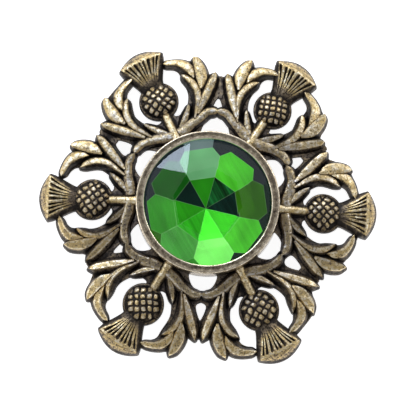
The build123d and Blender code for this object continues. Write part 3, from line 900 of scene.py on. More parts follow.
    def leaf(self, flower: Flower, shape: Leaf, side: int) -> Surface:
        """A leaf: a section carried along its middle line. Across it, the height is an ellipse
        from edge to edge mixed with a faceted one, which rises straight to the face's high
        edge, falls a little over the face, and then straight to the other foot. A soft leaf
        is nearer the ellipse. The face is darkest in its middle, so that both its edges are
        rubbed bright; on a soft leaf it is darkest at its edges, so that its middle carries a
        painted highlight. Each flower's painted shade is added to the faces, and where it is
        below 0 it is painted light.

        Args:
            flower: the flower that it belongs to.
            shape: the leaf.
            side: 1 or -1.

        Returns:
            The leaf in its place.
        """
        curve, half = self.leaf_path(flower, shape, side)
        turn = np.linspace(-1, 1, 2 * self.half_section + 1) * math.pi / 2
        offset, arch = np.sin(turn), np.cos(turn)
        slim = flower.side(flower.slim, side)
        edges = np.array([shape.near + slim, shape.far - slim])
        high, low = np.sin(edges * math.pi / (2 * self.half_section))
        spans = ((high, -1.0), (high, low), (low, 1.0))
        near, face, far = (np.clip((offset * side - start) / (end - start), 0, 1) for start, end in spans)
        soft = flower.side(flower.soft, side)
        sharp = shape.sharp * (1 - self.softening * soft)
        faceted = 1 - near - self.face_fall * face - (1 - self.face_fall) * far
        section = (1 - sharp) * arch + sharp * faceted
        plan = curve[:, None, :2] + (left_of(np.gradient(curve[:, :2], axis=0))[:, None, :]
                                     * (half[:, None] * offset)[..., None])
        full = smooth_step(0.0, self.full_width, curve[:, 2]) * (1 - self.narrow_height) + self.narrow_height
        height = shape.edge + (shape.crest - shape.edge) * full[:, None] * section[None, :]
        dark, light, dull = shape.shades
        # painted shade for this flower's side, and painted light where it is below 0
        light += flower.side(flower.painted_face_shade, side)
        bright_rims = light * np.sin(math.pi * face) ** 0.9
        # on a soft leaf, a painted highlight down the middle of the face
        painted_middle_highlight = light * np.abs(2 * face - 1) ** 1.5
        patina = (dark * smooth_step(*self.near_dark, near) + (1 - soft) * bright_rims + soft * painted_middle_highlight
                  + dull * smooth_step(*self.far_dark, far) + 0.20 * smooth_step(0.90, 1.0, np.abs(offset)))
        return self.raised(flower, plan, height * self.leaf_crest, np.broadcast_to(patina, height.shape),
                           self.flare)

    def web(self, flower: Flower, side: int) -> Surface:
        """Web on one side of a flower: its smooth outline, stacked in rings that step inwards
        to round the upper edge, with a flat face above and below.

        Args:
            flower: the flower that it belongs to.
            side: 1 or -1.

        Returns:
            The web in its place.
        """
        corners = self.place(flower, np.array(self.web_outline), side)[::-side]
        outline = curve_through(corners, 4, closed=True)
        inward = left_of(np.roll(outline, -1, axis=0) - np.roll(outline, 1, axis=0))
        points = []
        for inset, share in self.web_edge:
            plan = outline + inset * inward
            points.append(np.column_stack([plan, self.back(flower, plan[:, 0]) + share * self.web_thickness]))
        index = np.arange(len(outline) * len(points)).reshape(len(points), len(outline))
        faces = bands(index) + [index[0, ::-1].tolist(), index[-1].tolist()]
        return self.turned(Surface(np.vstack(points), faces, np.full(index.size, self.web_patina)), flower)

    def stem(self, flower: Flower) -> Surface:
        """Straight stem with a rounded back, from the setting into the bulb. It narrows on
        the way and widens again in the last tenth.

        Args:
            flower: the flower that it belongs to.

        Returns:
            The stem in its place.
        """
        x = np.linspace(self.bezel_radius + self.piece_gap, self.radius(flower, self.bulb_reach),
                        self.stem_rows)
        along = np.linspace(0, 1, self.stem_rows)
        half = self.stem_width / 2 * (1.0 - self.stem_taper * along + self.stem_flare * along ** 5)
        turn = np.linspace(-math.pi / 2, math.pi / 2, self.stem_columns)
        plan = np.dstack(np.broadcast_arrays(x[:, None], half[:, None] * np.sin(turn)[None, :]))
        arch = 0.55 + 0.45 * np.cos(turn)[None, :] ** 1.6
        height = self.stem_height * arch * (1.04 - 0.1 * along)[:, None]
        patina = np.broadcast_to(0.12 + 0.84 * smooth_step(0.50, 0.86, np.abs(np.sin(turn))), height.shape)
        return self.raised(flower, plan, height, patina)

    def bulb(self, flower: Flower) -> Surface:
        """The bulb: a low round collar and a dome, as one function of radius and angle. Rows
        of knobs cross the dome on a square pattern: each cell's knob is a rounded square whose
        height falls from its middle to its edge, with dark grooves between.

        Args:
            flower: the flower that it belongs to.

        Returns:
            The bulb in its place.
        """
        share, angle = disc_grid(self.bulb_grid)
        rim = self.bulb_diameter / 2 * flower.swell
        head = self.head_diameter / 2 * flower.swell
        radius = share * rim
        rise = self.head_height - self.bulb_collar
        ball = (head ** 2 + rise ** 2) / (2 * rise)
        within = np.maximum(ball ** 2 - np.minimum(radius, head + 0.05) ** 2, 0.0)
        dome = self.head_height - ball + np.sqrt(within)
        collar = self.bulb_collar * (0.72 + 0.28 * np.sqrt(1 - np.clip((share - 0.88) / 0.12, 0, 1) ** 2))
        height = np.where(radius < head, dome, collar)
        height = height + (collar - height) * smooth_step(head - 0.06, head + 0.10, radius)
        x, y = radius * np.cos(angle), radius * np.sin(angle)
        turn = math.radians(flower.knob_turn)
        drift = self.knob_drift * waver(x + 3.0 * flower.index, y, 4.0)
        across = (x * math.cos(turn) + y * math.sin(turn)) / flower.knob_pitch + drift
        along = (-x * math.sin(turn) + y * math.cos(turn)) / flower.knob_pitch - drift
        middle = flower.knob_pitch * np.hypot(np.round(across), np.round(along))
        off = sum(np.abs(2 * (line - np.round(line))) ** self.knob_square for line in (across, along))
        off = off ** (1 / self.knob_square)
        knob = (smooth_step(0.93, 0.50, off) * (1 - 0.25 * off ** 2)
                * smooth_step(head + 0.05, head - 0.25, middle))
        lift = self.knob_height * knob
        plan = np.dstack([self.radius(flower, self.bulb_reach) + flower.shift[0] + x * (1 + lift / ball),
                          flower.shift[1] + y * (1 + lift / ball)])
        patina = np.where(radius > head + 0.1, 0.55, np.clip(0.92 - 0.84 * knob, 0.0, 1.0))
        upright = np.sqrt(np.maximum(1 - (radius / ball) ** 2, 0.1))
        return self.raised(flower, plan, height + lift * upright, patina)

    def tuft(self, flower: Flower) -> Surface:
        """Fan of ribs that opens from the bulb. Along it, the table's widths and heights are
        joined by a smooth curve. Across it, the ribs are rounded cosine waves, drawn unevenly
        by a slow sine, with grooves between them that widen outwards and start at different
        distances. Beyond the fan the flanks fall as a quarter ellipse.

        Args:
            flower: the flower that it belongs to.

        Returns:
            The tuft in its place.
        """
        table = curve_through(np.array(self.tuft_rows), 10)
        along, flank, fan, high, edge, ribs, bow = (column[:, None] for column in table.T)
        root = self.radius(flower, self.bulb_reach) + self.tuft_start * self.bulb_diameter + flower.shift[0]
        length = self.radius(flower, 1.0) + flower.overrun - root
        face = np.linspace(-1, 1, self.tuft_columns)
        fall = np.linspace(0, 1, 7)[1:]
        outer = np.sin(fall * math.pi / 2)
        low = 1 - np.cos(fall * math.pi / 2)
        share = np.concatenate([-1 - outer[::-1], face, 1 + outer])[None, :]
        drop = np.concatenate([low[::-1], 0 * face, low])[None, :]
        inside, beyond = np.clip(share, -1, 1), np.maximum(np.abs(share) - 1, 0)
        across = (inside * fan + np.sign(share) * beyond * (flank - fan)) * self.tuft_width / 2
        rib = self.rib_count / 2 * (inside + 1)
        wave = np.abs(np.cos(math.pi * (rib + 0.16 * np.sin(1.9 * rib + 2.3 * flower.index))))
        start = 0.13 + 0.12 * np.sin(2.7 * np.round(rib) + 1.3 * flower.index)
        depth = 0.75 + 0.25 * np.sin(4.1 * np.round(rib) + flower.index)
        depth = depth * smooth_step(start, start + 0.2, along)
        wide = 0.45 + 0.50 * smooth_step(0.2, 0.75, along)
        cut = smooth_step(0.0, 0.7, (wide - wave) / (wide - 0.1))
        groove = cut * depth * (np.abs(share) <= 1) * np.clip(ribs, 0, 1)
        camber = 1 - 0.12 * inside ** 2
        height = self.tuft_height * (high * camber + (edge - high * camber) * drop) - self.rib_depth * groove
        stretch = across / (flank * self.tuft_width / 2)
        lean = flower.shift[1] * (1 - np.clip(along, 0, 1)) + flower.sway * np.clip(along, 0, 1)
        plan = np.dstack([root + length * (along - bow * stretch ** 2), across + lean])
        patina = np.clip(0.14 + 1.1 * groove ** 0.7 + 0.90 * smooth_step(0.0, 0.35, beyond)
                         + 0.70 * smooth_step(0.42, 0.06, along), 0.0, 1.0)
        patina = np.maximum(patina, 0.40 * smooth_step(0.78, 0.84, along))
        pits = 0.12 * waver(9 * along, across, 1.1) * smooth_step(0.79, 0.86, along)
        return self.raised(flower, plan, height + pits, patina)

    def seat(self) -> Surface:
        """Plate under the setting: a rectangle with rounded corners, carried round the axis.

        Returns:
            The plate.
        """
        low, high, outer = self.seat_bottom, self.seat_bottom + self.seat_thickness, self.bezel_radius
        radius = np.array([0.02, outer - 0.15, outer, outer, outer - 0.1, 0.02])
        height = np.array([low, low, low + 0.15, high - 0.1, high, high])
        return lathe(radius, height, np.full(6, self.seat_patina), 160)

    def settle_patina(self, surfaces: list[Surface]) -> None:
        """Adds patina where the casting is hollow. The heights above the back are gathered on
        a map, both the map and its mask are blurred with the same bell curve, their ratio is
        the mean height of the metal close by, and a point that lies below it is darker. A
        broad bell curve finds the hollows and a narrow one the creases.

        Args:
            surfaces: the casting's surfaces in their places, whose patina is changed.
        """
        cell, half = 0.16, 34.0
        count = int(2 * half / cell)
        points = np.vstack([surface.points for surface in surfaces])
        radius = np.hypot(points[:, 0], points[:, 1])
        slope = self.dome_rise / (self.radius(self.flowers[1], 1.0) - self.bezel_radius)
        back = np.clip(self.dome_rise - slope * (radius - self.bezel_radius), 0, self.dome_rise)
        height = points[:, 2] - back
        column, row = (((points[:, axis] + half) / cell).astype(int) for axis in (0, 1))
        ground = np.zeros((count, count))
        np.maximum.at(ground, (column, row), height)
        mask = (ground > 0).astype(float)
        wave = np.fft.fftfreq(count, cell)
        shades = []
        for recess in self.recesses:
            bell = np.exp(-2 * (math.pi * recess.spread) ** 2 * (wave[:, None] ** 2 + wave[None, :] ** 2))
            near, cover = (np.fft.ifft2(np.fft.fft2(image) * bell).real for image in (ground, mask))
            low = (near / np.maximum(cover, 0.02))[column, row] - height
            shades.append(recess.patina * smooth_step(recess.start, recess.full, low))
        hollow = np.maximum(*shades)
        start = 0
        for surface in surfaces:
            part = hollow[start:start + len(surface.points)]
            surface.patina = np.clip(np.maximum(surface.patina, part) + 0.25 * surface.patina * part, 0, 1)
            start += len(surface.points)

    def build(self, finish: bpy.types.Material, stem_finish: bpy.types.Material) -> list[bpy.types.Object]:
        """Builds the casting's pieces.

        Args:
            finish: the material of all of them but the stems.
            stem_finish: the material of the stems.

        Returns:
            One object for each kind of piece.
        """
        groups: dict[str, list[Surface]] = {
            "leaves": [self.leaf(flower, shape, side) for flower in self.flowers for side in (1, -1)
                       for shape in self.leaves],
            "webs": [self.web(flower, side) for flower in self.flowers for side in (1, -1)],
            "stems": [self.stem(flower) for flower in self.flowers],
            "bulbs": [self.bulb(flower) for flower in self.flowers],
            "tufts": [self.tuft(flower) for flower in self.flowers]}
        self.settle_patina([surface for group in groups.values() for surface in group])
        groups["seat_plate"] = [self.seat()]
        return [add_mesh(name, Surface.joined(group), stem_finish if name == "stems" else finish)
                for name, group in groups.items()]


@dataclass
class Setting:
    """The ring that holds the stone, with a step under it and a rim turned over its edge.
    Sizes are in millimetres."""
    outer_radius: float = 13.64
    wall: float = 1.04
    opening_radius: float = 12.05
    ledge_width: float = 0.6
    ledge_height: float = 7.37
    bottom: float = 4.30
    foot_shade: float = 0.9         # height over the bottom up to which the outer wall is black
    rim_bottom: float = 8.642
    top: float = 9.192
    rounding: float = 0.3
    sag: float = 0.05               # of the rim's face between its edges
    edge_points: int = 7
    face_points: int = 7
    around: int = 288
    edge_patinas: tuple[float, float] = (0.18, 0.40)    # at the foot of the inner and the outer edge
    face_patina: float = 0.44
    wall_patina: float = 0.8

    def build(self, finish: bpy.types.Material) -> bpy.types.Object:
        """Carries the ring's profile round the axis: quarter circles at both edges of the rim,
        a face between them that sags a little, and straight walls, the outer one dark at its
        foot. The edges are rubbed bright where they meet the face.

        Args:
            finish: the ring's material.

        Returns:
            The ring.
        """
        turn = np.linspace(0, math.pi / 2, self.edge_points)
        inner = self.outer_radius - self.wall
        step = inner - self.ledge_width
        lip = self.opening_radius + self.rounding * (1 - np.cos(turn))
        arc = self.top - self.rounding * (1 - np.sin(turn))
        face = np.linspace(lip[-1], self.outer_radius - self.rounding, self.face_points + 2)[1:-1]
        sag = self.sag * np.sin(np.linspace(0, math.pi, self.face_points + 2))[1:-1]
        radius = np.concatenate([
            [self.opening_radius], lip, face, self.outer_radius - self.rounding * (1 - np.sin(turn)),
            [self.outer_radius, self.outer_radius, inner, inner, step, step, inner, inner]])
        height = np.concatenate([
            [self.rim_bottom], arc, self.top - sag, self.top - self.rounding * (1 - np.cos(turn)),
            [self.bottom + self.foot_shade, self.bottom, self.bottom,
             self.ledge_height - 2 * self.ledge_width, self.ledge_height - self.ledge_width,
             self.ledge_height, self.ledge_height, self.rim_bottom]])
        patina = np.concatenate([
            [self.wall_patina], np.linspace(self.edge_patinas[0], 0.0, self.edge_points),
            np.full(self.face_points, self.face_patina),
            np.linspace(0.0, self.edge_patinas[1], self.edge_points),
            [self.wall_patina, 1.0, 1.0, 1.0, 1.0, 1.0, 1.0, 0.9]])
        return add_mesh("setting_ring", lathe(radius, height, patina, self.around), finish, crease=50.0)


class PaintedFoilLight(Enum):
    """Painted light: the tone that a facet of the foil throws back under the studio light,
    fixed as its colour from every side.
    """
    BLACK = "#06201A"
    NIGHT = "#0E4A20"
    SLATE = "#1E262E"
    DIM = "#66747C"
    DARK = "#0C560C"
    DEEP = "#228012"
    OLIVE = "#2A5E08"
    MOSS = "#2E8A20"
    MIDDLE = "#2BA01C"
    GREY = "#469A3E"
    CLEAR = "#32A01E"
    LIGHT = "#48BC2A"
    BRIGHT = "#4CE836"
    PALE = "#84F66E"
    # a painted reflection of a lamp over the green
    VEIL_REFLECTION = "#68A874"
    # painted highlight for the edges of the facets
    EDGE_HIGHLIGHT = "#C8F5C0"


@dataclass
class Stone:
    """The round cut stone: a clear glass body, and green foil on the facets of its pointed
    back, just inside the glass. Its front is cut a few degrees out of step with its back.
    Sizes are in millimetres and angles in degrees."""
    radius: float = 12.5
    star_radius: float = 5.8        # of the corners of the star on the glass's back
    kite_radius: float = 10.2       # and of the corners of the large facets round it
    rim_overrun: float = 1.045
    inner_angle: float = 12.0
    outer_angle: float = 15.8
    turn: float = 34.3
    rim_bearing: float = 15.4
    culet_height: float = 4.44
    foil_lift: float = 0.30         # how far the foil lies inside the glass
    foil_thickness: float = 0.14
    foil_radius: float = 12.4
    star: float = 6.2               # radii of the facets' corners, as they show through the crown
    kite: float = 9.9
    outer: float = 11.35
    outer_bearing: float = 9.0      # from a corner of the star to the outer corners beside it
    shifts: tuple[tuple[float, float], ...] = (
        # how far the point, the star, the kites and the outer corners show out of their place
        (-0.30, -0.95), (-0.15, -0.98), (-0.12, -0.85), (-0.10, -0.85))
    edge_width: float = 0.10        # of the line round each facet
    edge_highlight: float = 0.10        # how far that line goes from the facet's painted light to the painted highlight
    crown_turn: float = 39.6
    table_radius: float = 6.65
    table_height: float = 9.881
    crown_bottom: float = 8.181
    wall_bottom: float = 7.50
    rim_room: float = 0.01          # how much smaller the body is than the stone
    back_room: float = 0.05         # how far its back lies below the facets
    arc_steps: int = 6              # on each arc of the front's outline
    # each facet's painted light: the tone that it throws back under the studio light
    inner_painted_lights: tuple[PaintedFoilLight, ...] = (
        PaintedFoilLight.NIGHT, PaintedFoilLight.DEEP, PaintedFoilLight.BLACK, PaintedFoilLight.DEEP,
        PaintedFoilLight.MIDDLE, PaintedFoilLight.BRIGHT, PaintedFoilLight.CLEAR, PaintedFoilLight.BLACK)
    outer_painted_lights: tuple[PaintedFoilLight, ...] = (
        PaintedFoilLight.LIGHT, PaintedFoilLight.VEIL_REFLECTION, PaintedFoilLight.DARK, PaintedFoilLight.MOSS,
        PaintedFoilLight.GREY, PaintedFoilLight.PALE, PaintedFoilLight.LIGHT, PaintedFoilLight.OLIVE)
    rim_painted_lights: tuple[PaintedFoilLight, ...] = (
        PaintedFoilLight.SLATE, PaintedFoilLight.DIM, PaintedFoilLight.SLATE, PaintedFoilLight.SLATE,
        PaintedFoilLight.OLIVE, PaintedFoilLight.MOSS, PaintedFoilLight.BLACK, PaintedFoilLight.BLACK)
    corner_painted_lights: tuple[PaintedFoilLight, ...] = (
        PaintedFoilLight.SLATE, PaintedFoilLight.SLATE, PaintedFoilLight.SLATE, PaintedFoilLight.SLATE,
        PaintedFoilLight.OLIVE, PaintedFoilLight.MOSS, PaintedFoilLight.BLACK, PaintedFoilLight.BLACK)
    inner_lines: tuple[float, ...] = (1.9, 0.1, 0.1, 0.2, 0.4, 0.0, 0.1, 0.9)
    outer_lines: tuple[float, ...] = (0.2, 0.0, 0.15, 0.15, 0.3, 0.06, 0.3, 0.15)

    def ring(self, radius: float, bearings: np.ndarray, shift: tuple[float, float]) -> np.ndarray:
        """Plan points round the axis at a radius, moved by a shift."""
        return polar(radius, np.radians(self.turn + bearings)) + shift

    def back(self, plan: np.ndarray) -> np.ndarray:
        """Height of the glass's pointed back over plan points: the highest of its planes. Eight
        rise from the point, eight more steeply from the star's sides, and eight from the
        corners between those.

        Args:
            plan: rows of x and y.

        Returns:
            The heights.
        """
        half = math.cos(math.radians(22.5))
        towards_side = plan @ eight_ways(self.turn + 22.5).T
        towards_corner = plan @ eight_ways(self.turn).T
        apothem = self.star_radius * half
        star_rise = apothem * math.tan(math.radians(self.inner_angle))
        slope = math.tan(math.radians(self.outer_angle))
        kite_rise = star_rise + slope * (self.kite_radius * half - apothem)
        rim = self.rim_overrun * self.radius
        depth = star_rise + slope * (rim * math.cos(math.radians(22.5 - self.rim_bearing)) - apothem)
        rim_run = rim * math.cos(math.radians(self.rim_bearing)) - self.kite_radius
        planes = [towards_side * math.tan(math.radians(self.inner_angle)),
                  star_rise + slope * (towards_side - apothem),
                  kite_rise + (depth - kite_rise) / rim_run * (towards_corner - self.kite_radius)]
        return self.culet_height + np.maximum.reduce(planes).max(axis=1)

    def crown(self, plan: np.ndarray) -> np.ndarray:
        """Height of the glass's front over plan points: the lowest of its planes. Eight fall
        from the table's sides and eight more steeply from its corners, and all meet at the
        corners of an eight-sided outline that touches the rim.

        Args:
            plan: rows of x and y.

        Returns:
            The heights.
        """
        half = math.cos(math.radians(22.5))
        fall = self.table_height - self.crown_bottom
        corner_slope = fall / (self.radius - self.table_radius)
        side_slope = fall / (self.radius / half - self.table_radius * half)
        from_corner = (plan @ eight_ways(self.crown_turn).T).max(axis=1) - self.table_radius
        from_side = (plan @ eight_ways(self.crown_turn + 22.5).T).max(axis=1) - self.table_radius * half
        drop = np.maximum(np.maximum(corner_slope * from_corner, side_slope * from_side), 0.0)
        return self.table_height - drop

    def body(self, glass: bpy.types.Material) -> bpy.types.Object:
        """Builds the glass body: the table, rings of points on the edges of the front's facets
        out to the rim, a straight wall, and a back in steps that lies under the foil. The
        front's facets meet the rim where a line from a corner of the table to a corner of the
        eight-sided outline crosses the rim's circle, which is a quadratic equation.

        Args:
            glass: material of the body.

        Returns:
            The body.
        """
        rim = self.radius - self.rim_room
        half = math.radians(22.5)
        far = self.radius / math.cos(half)
        corner = np.array([self.table_radius, 0.0])
        edge = np.array([far * math.cos(half), far * math.sin(half)]) - corner
        a, b, c = edge @ edge, 2 * corner @ edge, corner @ corner - rim ** 2
        meet = corner + edge * (-b + math.sqrt(b * b - 4 * a * c)) / (2 * a)
        bearing = math.degrees(math.atan2(meet[1], meet[0]))
        share = np.concatenate([np.linspace(start, end, self.arc_steps + 1)[:-1]
                                for start, end in ((-bearing, bearing), (bearing, 45 - bearing))])
        circle = polar(1.0, np.radians(self.crown_turn + (45.0 * np.arange(8)[:, None] + share).reshape(-1)))
        table = self.table_radius * eight_ways(self.crown_turn)
        levels = [(rim, self.wall_bottom)] + [
            (radius, self.back(radius * circle).min() - self.back_room)
            for radius in (self.kite_radius, self.star_radius)]
        rings = [np.column_stack([rim * circle, self.crown(rim * circle)])]
        count = len(circle)
        rings += [np.column_stack([radius * circle, np.full(count, height)]) for radius, height in levels]
        points = np.vstack([np.column_stack([table, np.full(8, self.table_height)])] + rings
                           + [[[0.0, 0.0, self.culet_height]]])
        index = 8 + np.arange(len(rings) * count).reshape(len(rings), count)
        faces = [list(range(8))]
        for step in range(8):
            first = 2 * self.arc_steps * step
            arc = [int(index[0, (first + place) % count]) for place in range(2 * self.arc_steps + 1)]
            faces += [[step] + arc[:self.arc_steps + 1], [step] + arc[self.arc_steps:] + [(step + 1) % 8]]
        lower, upper = index[1:], index[:-1]
        quads = np.stack([upper, lower, np.roll(lower, -1, axis=1), np.roll(upper, -1, axis=1)], axis=-1)
        point = np.full(count, len(points) - 1)
        faces += quads.reshape(-1, 4).tolist()
        faces += np.column_stack([index[-1], point, np.roll(index[-1], -1)]).tolist()
        return add_mesh("stone_glass", Surface(points, faces, np.zeros(len(points))), glass, crease=3.0)

    def pattern(self) -> tuple[np.ndarray, list[list[int]], list[PaintedFoilLight], list[float]]:
        """Corners and facets of the foil, seen from above: a star of eight, eight large ones
        round it, and sixteen at the rim. The points are numbered from the middle outwards:
        the point, 8 of the star, 8 of the kites, and 16 each of the outer corners and the rim.

        Returns:
            The points, the facets as lists of point numbers, and each facet's painted light and
            how strongly it is lined.
        """
        steps = 45.0 * np.arange(8)
        sides = np.stack([steps + self.outer_bearing, steps + 45.0 - self.outer_bearing], axis=-1).reshape(-1)
        point, star, kite, outer = self.shifts
        plan = np.vstack([
            self.ring(0.0, np.zeros(1), point), self.ring(self.star, steps, star),
            self.ring(self.kite, steps, kite), self.ring(self.outer, sides, outer),
            self.ring(self.foil_radius, sides, (0.0, 0.0))])
        points = np.column_stack([plan, self.back(plan) + self.foil_lift])
        facets, tones, lines = [], [], []
        for step in range(8):
            stars, kites = (1 + step, 1 + (step + 1) % 8), (9 + step, 9 + (step + 1) % 8)
            last, left, right = 18 + 2 * ((step - 1) % 8), 17 + 2 * step, 18 + 2 * step
            far_last, far_left, far_right = last + 16, left + 16, right + 16
            facets += [[0, *stars],
                       [stars[0], kites[0], left, right, kites[1], stars[1]],
                       [left, far_left, far_right, right],
                       [kites[0], last, far_last, far_left, left]]
            tones += [group[step] for group in (self.inner_painted_lights, self.outer_painted_lights, self.rim_painted_lights,
                                                self.corner_painted_lights)]
            lines += [self.inner_lines[step], self.outer_lines[step], 0.0, 0.0]
        return points, facets, tones, lines

    def build(self, foil: bpy.types.Material) -> bpy.types.Object:
        """Builds the foil: each facet on the plane that fits its corners best, painted with the
        light that it throws back, with a narrow edge inside its outline that carries a painted
        highlight within the star and kites, the same outlines below turned round, and a narrow
        wall between the two at the rim. It lies just inside the glass.

        Args:
            foil: material of the foil.

        Returns:
            The foil.
        """
        points, facets, tones, lines = self.pattern()
        upper, shell, colours, lined = [points], [], [], []
        count = len(points)
        bright = np.array(linear(PaintedFoilLight.EDGE_HIGHLIGHT.value))
        for facet, tone, line in zip(facets, tones, lines):
            corners = points[facet]
            inwards = corners.mean(axis=0) - corners
            inside = corners + self.edge_width * inwards / np.linalg.norm(inwards, axis=1, keepdims=True)
            level = np.column_stack([inside[:, :2], np.ones(len(facet))])
            inside[:, 2] = level @ np.linalg.lstsq(level, inside[:, 2], rcond=None)[0]
            upper.append(inside)
            inner = list(range(count, count + len(facet)))
            count += len(facet)
            shell.append(inner)
            shell += [[corner, after, inner_after, inner_corner] for corner, after, inner_after, inner_corner
                      in zip(facet, facet[1:] + facet[:1], inner[1:] + inner[:1], inner)]
            # painted highlight on the edges of the star and the kites
            share = self.edge_highlight if min(facet) <= 8 else 0.0
            colour = np.array(linear(tone.value))
            colours += [colour] + [(1 - share) * colour + share * bright] * len(facet)
            lined += [line] + [0.0] * len(facet)
        below = points - [0.0, 0.0, self.foil_thickness]
        shell += [[corner + count for corner in reversed(facet)] for facet in facets]
        rim = list(range(len(points) - 16, len(points)))
        shell += [[here, here + count, there + count, there] for here, there in zip(rim, rim[1:] + rim[:1])]
        missing = len(shell) - len(colours)
        colours += [linear(PaintedFoilLight.BLACK.value)] * missing
        lined += [0.0] * missing
        shape = Surface(np.vstack(upper + [below]), shell, np.zeros(count + len(points)))
        backing = add_mesh("stone_foil", shape, foil, crease=1.0)
        sizes = [len(facet) for facet in shell]
        layers = backing.data.attributes
        layers.new("tone", "FLOAT_COLOR", "CORNER").data.foreach_set(
            "color", np.repeat(np.array(colours, np.float32), sizes, axis=0).reshape(-1))
        layers.new("lined", "FLOAT", "CORNER").data.foreach_set(
            "value", np.repeat(np.array(lined, np.float32), sizes))
        return backing


@dataclass(frozen=True)
class Lamp:
    """A soft box: where it stands in degrees, seen from the brooch, its size in millimetres,
    its brightness beside white paper, the colour of its light and its distance."""
    name: str
    bearing: float
    elevation: float
    width: float
    height: float
    brightness: float
    colour: str = "#FFFFFF"
    distance: float = 600.0


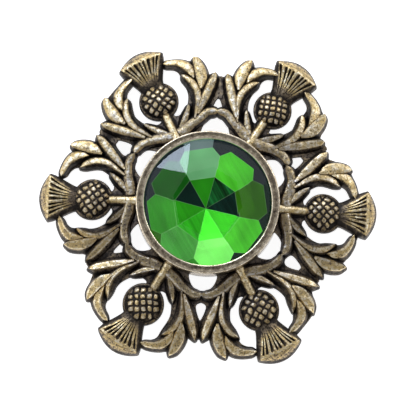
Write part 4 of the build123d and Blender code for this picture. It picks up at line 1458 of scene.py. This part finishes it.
@dataclass
class Studio:
    """A light table, the lights and the camera at the photograph's angle."""
    elevation: float = 81.7         # degrees
    roll: float = -3.7              # degrees, how far the brooch is turned in the picture
    distance: float = 1200.0        # millimetres
    clip: tuple[float, float] = (0.05, 20.0)    # metres
    scale: float = 5.252            # picture points a millimetre
    picture: float = 416.0          # picture points across
    centre: tuple[float, float] = (207.8, 208.8)
    sensor: float = 36.0            # millimetres
    floor_side: float = 4000.0
    floor_drop: float = 0.02        # millimetres, that the floor lies below the brooch
    tent_strength: float = 0.63
    tent_lean: float = 0.40         # how much brighter the tent is on the key light's side
    tent: tuple[tuple[float, float], ...] = (
        # height of a direction from 0, level, to 1, straight up, and its brightness
        (0.0, 0.42), (0.30, 0.80), (0.62, 1.0), (0.80, 0.75), (0.93, 0.70), (0.965, 0.12))
    lamps: tuple[Lamp, ...] = (
        Lamp("key_box", bearing=126.0, elevation=48.5, width=180.0, height=130.0, brightness=9.5,
             colour="#D8E8FF"),
        Lamp("top_box", bearing=100.0, elevation=28.0, width=420.0, height=110.0, brightness=4.5,
             colour="#F4F7FF"),
        Lamp("right_box", bearing=40.0, elevation=34.0, width=200.0, height=120.0, brightness=5.0),
        Lamp("left_box", bearing=185.0, elevation=30.0, width=240.0, height=120.0, brightness=2.6))

    def axes(self) -> tuple[Vector, Vector, Vector]:
        """Works out how the camera is turned.

        Returns:
            The picture's right and up directions and the direction towards the camera.
        """
        roll, rise = math.radians(self.roll), math.radians(self.elevation)
        right = Vector((math.cos(roll), -math.sin(roll), 0.0))
        away = Vector((math.sin(roll), math.cos(roll), 0.0))
        level = Vector((0.0, 0.0, 1.0))
        up = away * math.sin(rise) + level * math.cos(rise)
        return right, up, level * math.sin(rise) - away * math.cos(rise)

    def add_camera(self) -> None:
        """Places the camera so that the brooch fills the picture as in the photograph."""
        right, up, back = self.axes()
        camera = bpy.data.cameras.new("camera")
        camera.sensor_width = self.sensor
        camera.lens = self.sensor * self.scale * self.distance / self.picture
        camera.clip_start, camera.clip_end = self.clip
        holder = bpy.data.objects.new("camera", camera)
        middle = self.picture / 2
        target = (right * (middle - self.centre[0]) + up * (self.centre[1] - middle)) / self.scale
        turn = Matrix((right, up, back)).transposed().to_4x4()
        holder.matrix_world = Matrix.Translation((target + back * self.distance) * MILLIMETRE) @ turn
        bpy.context.scene.collection.objects.link(holder)
        bpy.context.scene.camera = holder

    def add_panel(self, lamp: Lamp) -> None:
        """Adds a rectangular soft box that faces the brooch: its power is its brightness times
        pi times its area.

        Args:
            lamp: the soft box.
        """
        light = bpy.data.lights.new(lamp.name, "AREA")
        light.shape = "RECTANGLE"
        light.size, light.size_y = lamp.width * MILLIMETRE, lamp.height * MILLIMETRE
        light.energy = lamp.brightness * math.pi * light.size * light.size_y
        light.color = linear(lamp.colour)[:3]
        holder = bpy.data.objects.new(lamp.name, light)
        turn, rise = math.radians(lamp.bearing), math.radians(lamp.elevation)
        back = Vector((math.cos(turn) * math.cos(rise), math.sin(turn) * math.cos(rise), math.sin(rise)))
        right = Vector((-math.sin(turn), math.cos(turn), 0.0))
        matrix = Matrix((right, back.cross(right), back)).transposed().to_4x4()
        holder.matrix_world = Matrix.Translation(back * lamp.distance * MILLIMETRE) @ matrix
        holder.visible_camera = False
        bpy.context.scene.collection.objects.link(holder)

    def add_surroundings(self) -> None:
        """A pale tent round the brooch: dark straight above, where the camera looks in, and
        brighter on the key light's side, in proportion to how far a direction leans to it."""
        world = bpy.data.worlds.new("studio_tent")
        world.use_nodes = True
        tree = world.node_tree
        tree.nodes.clear()
        direction = add_node(tree, "ShaderNodeTexCoord").outputs["Generated"]
        height = add_node(tree, "ShaderNodeSeparateXYZ", (direction,)).outputs["Z"]
        tent = add_node(tree, "ShaderNodeValToRGB", (height,), stops=self.tent)
        bearing = math.radians(self.lamps[0].bearing)
        lean = add_node(tree, "ShaderNodeVectorMath",
                        (direction, (math.cos(bearing), math.sin(bearing), 0.0)), operation="DOT_PRODUCT")
        strength = add_node(tree, "ShaderNodeMath", (
            lean.outputs["Value"], self.tent_lean * self.tent_strength, self.tent_strength),
            operation="MULTIPLY_ADD")
        light = add_node(tree, "ShaderNodeBackground", {
            "Color": tent.outputs["Color"], "Strength": strength.outputs[0]})
        add_node(tree, "ShaderNodeOutputWorld", {"Surface": light.outputs[0]})
        bpy.context.scene.world = world

    def build(self, finish: bpy.types.Material) -> None:
        """Builds the floor, the lamps and the camera.

        Args:
            finish: the floor's material.
        """
        side = self.floor_side / 2
        corners = np.array([(x * side, y * side, -self.floor_drop)
                            for x, y in ((-1, -1), (1, -1), (1, 1), (-1, 1))])
        floor = add_mesh("floor", Surface(corners, [[0, 1, 2, 3]], np.zeros(4)), finish)
        for lamp in self.lamps:
            self.add_panel(lamp)
        self.add_surroundings()
        self.add_camera()


def main() -> None:
    """Builds the brooch and the studio, and reports each piece."""
    logging.basicConfig(level=logging.INFO, format="%(message)s")
    brass = AntiqueBrass("antique_brass_cast").material()
    stem_brass = AntiqueBrass("antique_brass_cast_stems", grey_inside=9.0, gold_outside=13.0).material()
    turned_brass = TurnedBrass("antique_brass_turned").material()
    glass = PolishedGlass("clear_glass_polished").material()
    foil = GreenFoil("green_mirror_foil").material()
    stone = Stone()
    dressed = {"thistle_wreath": (Wreath().build(brass, stem_brass), "antique_brass"),
               "stone_bezel": ([Setting().build(turned_brass)], "bezel_brass"),
               "glass_stone": ([stone.body(glass), stone.build(foil)], "green_glass")}
    for node, (pieces, slot) in dressed.items():
        for piece in pieces:
            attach(piece, "root")
            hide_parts(node)
            LOG.info("%s: %d faces, stands for %s", piece.name, len(piece.data.polygons), node)
    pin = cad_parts["pin_back"]
    pin.data.materials.clear()
    pin.data.materials.append(DullPlate("dull_plated_steel").material())
    LOG.info("pin_back: CAD node with its own finish")
    Studio().build(LightTable("light_table_acrylic").material())
    bpy.context.scene.view_settings.view_transform = "Standard"


if __name__ == "__main__":
    main()
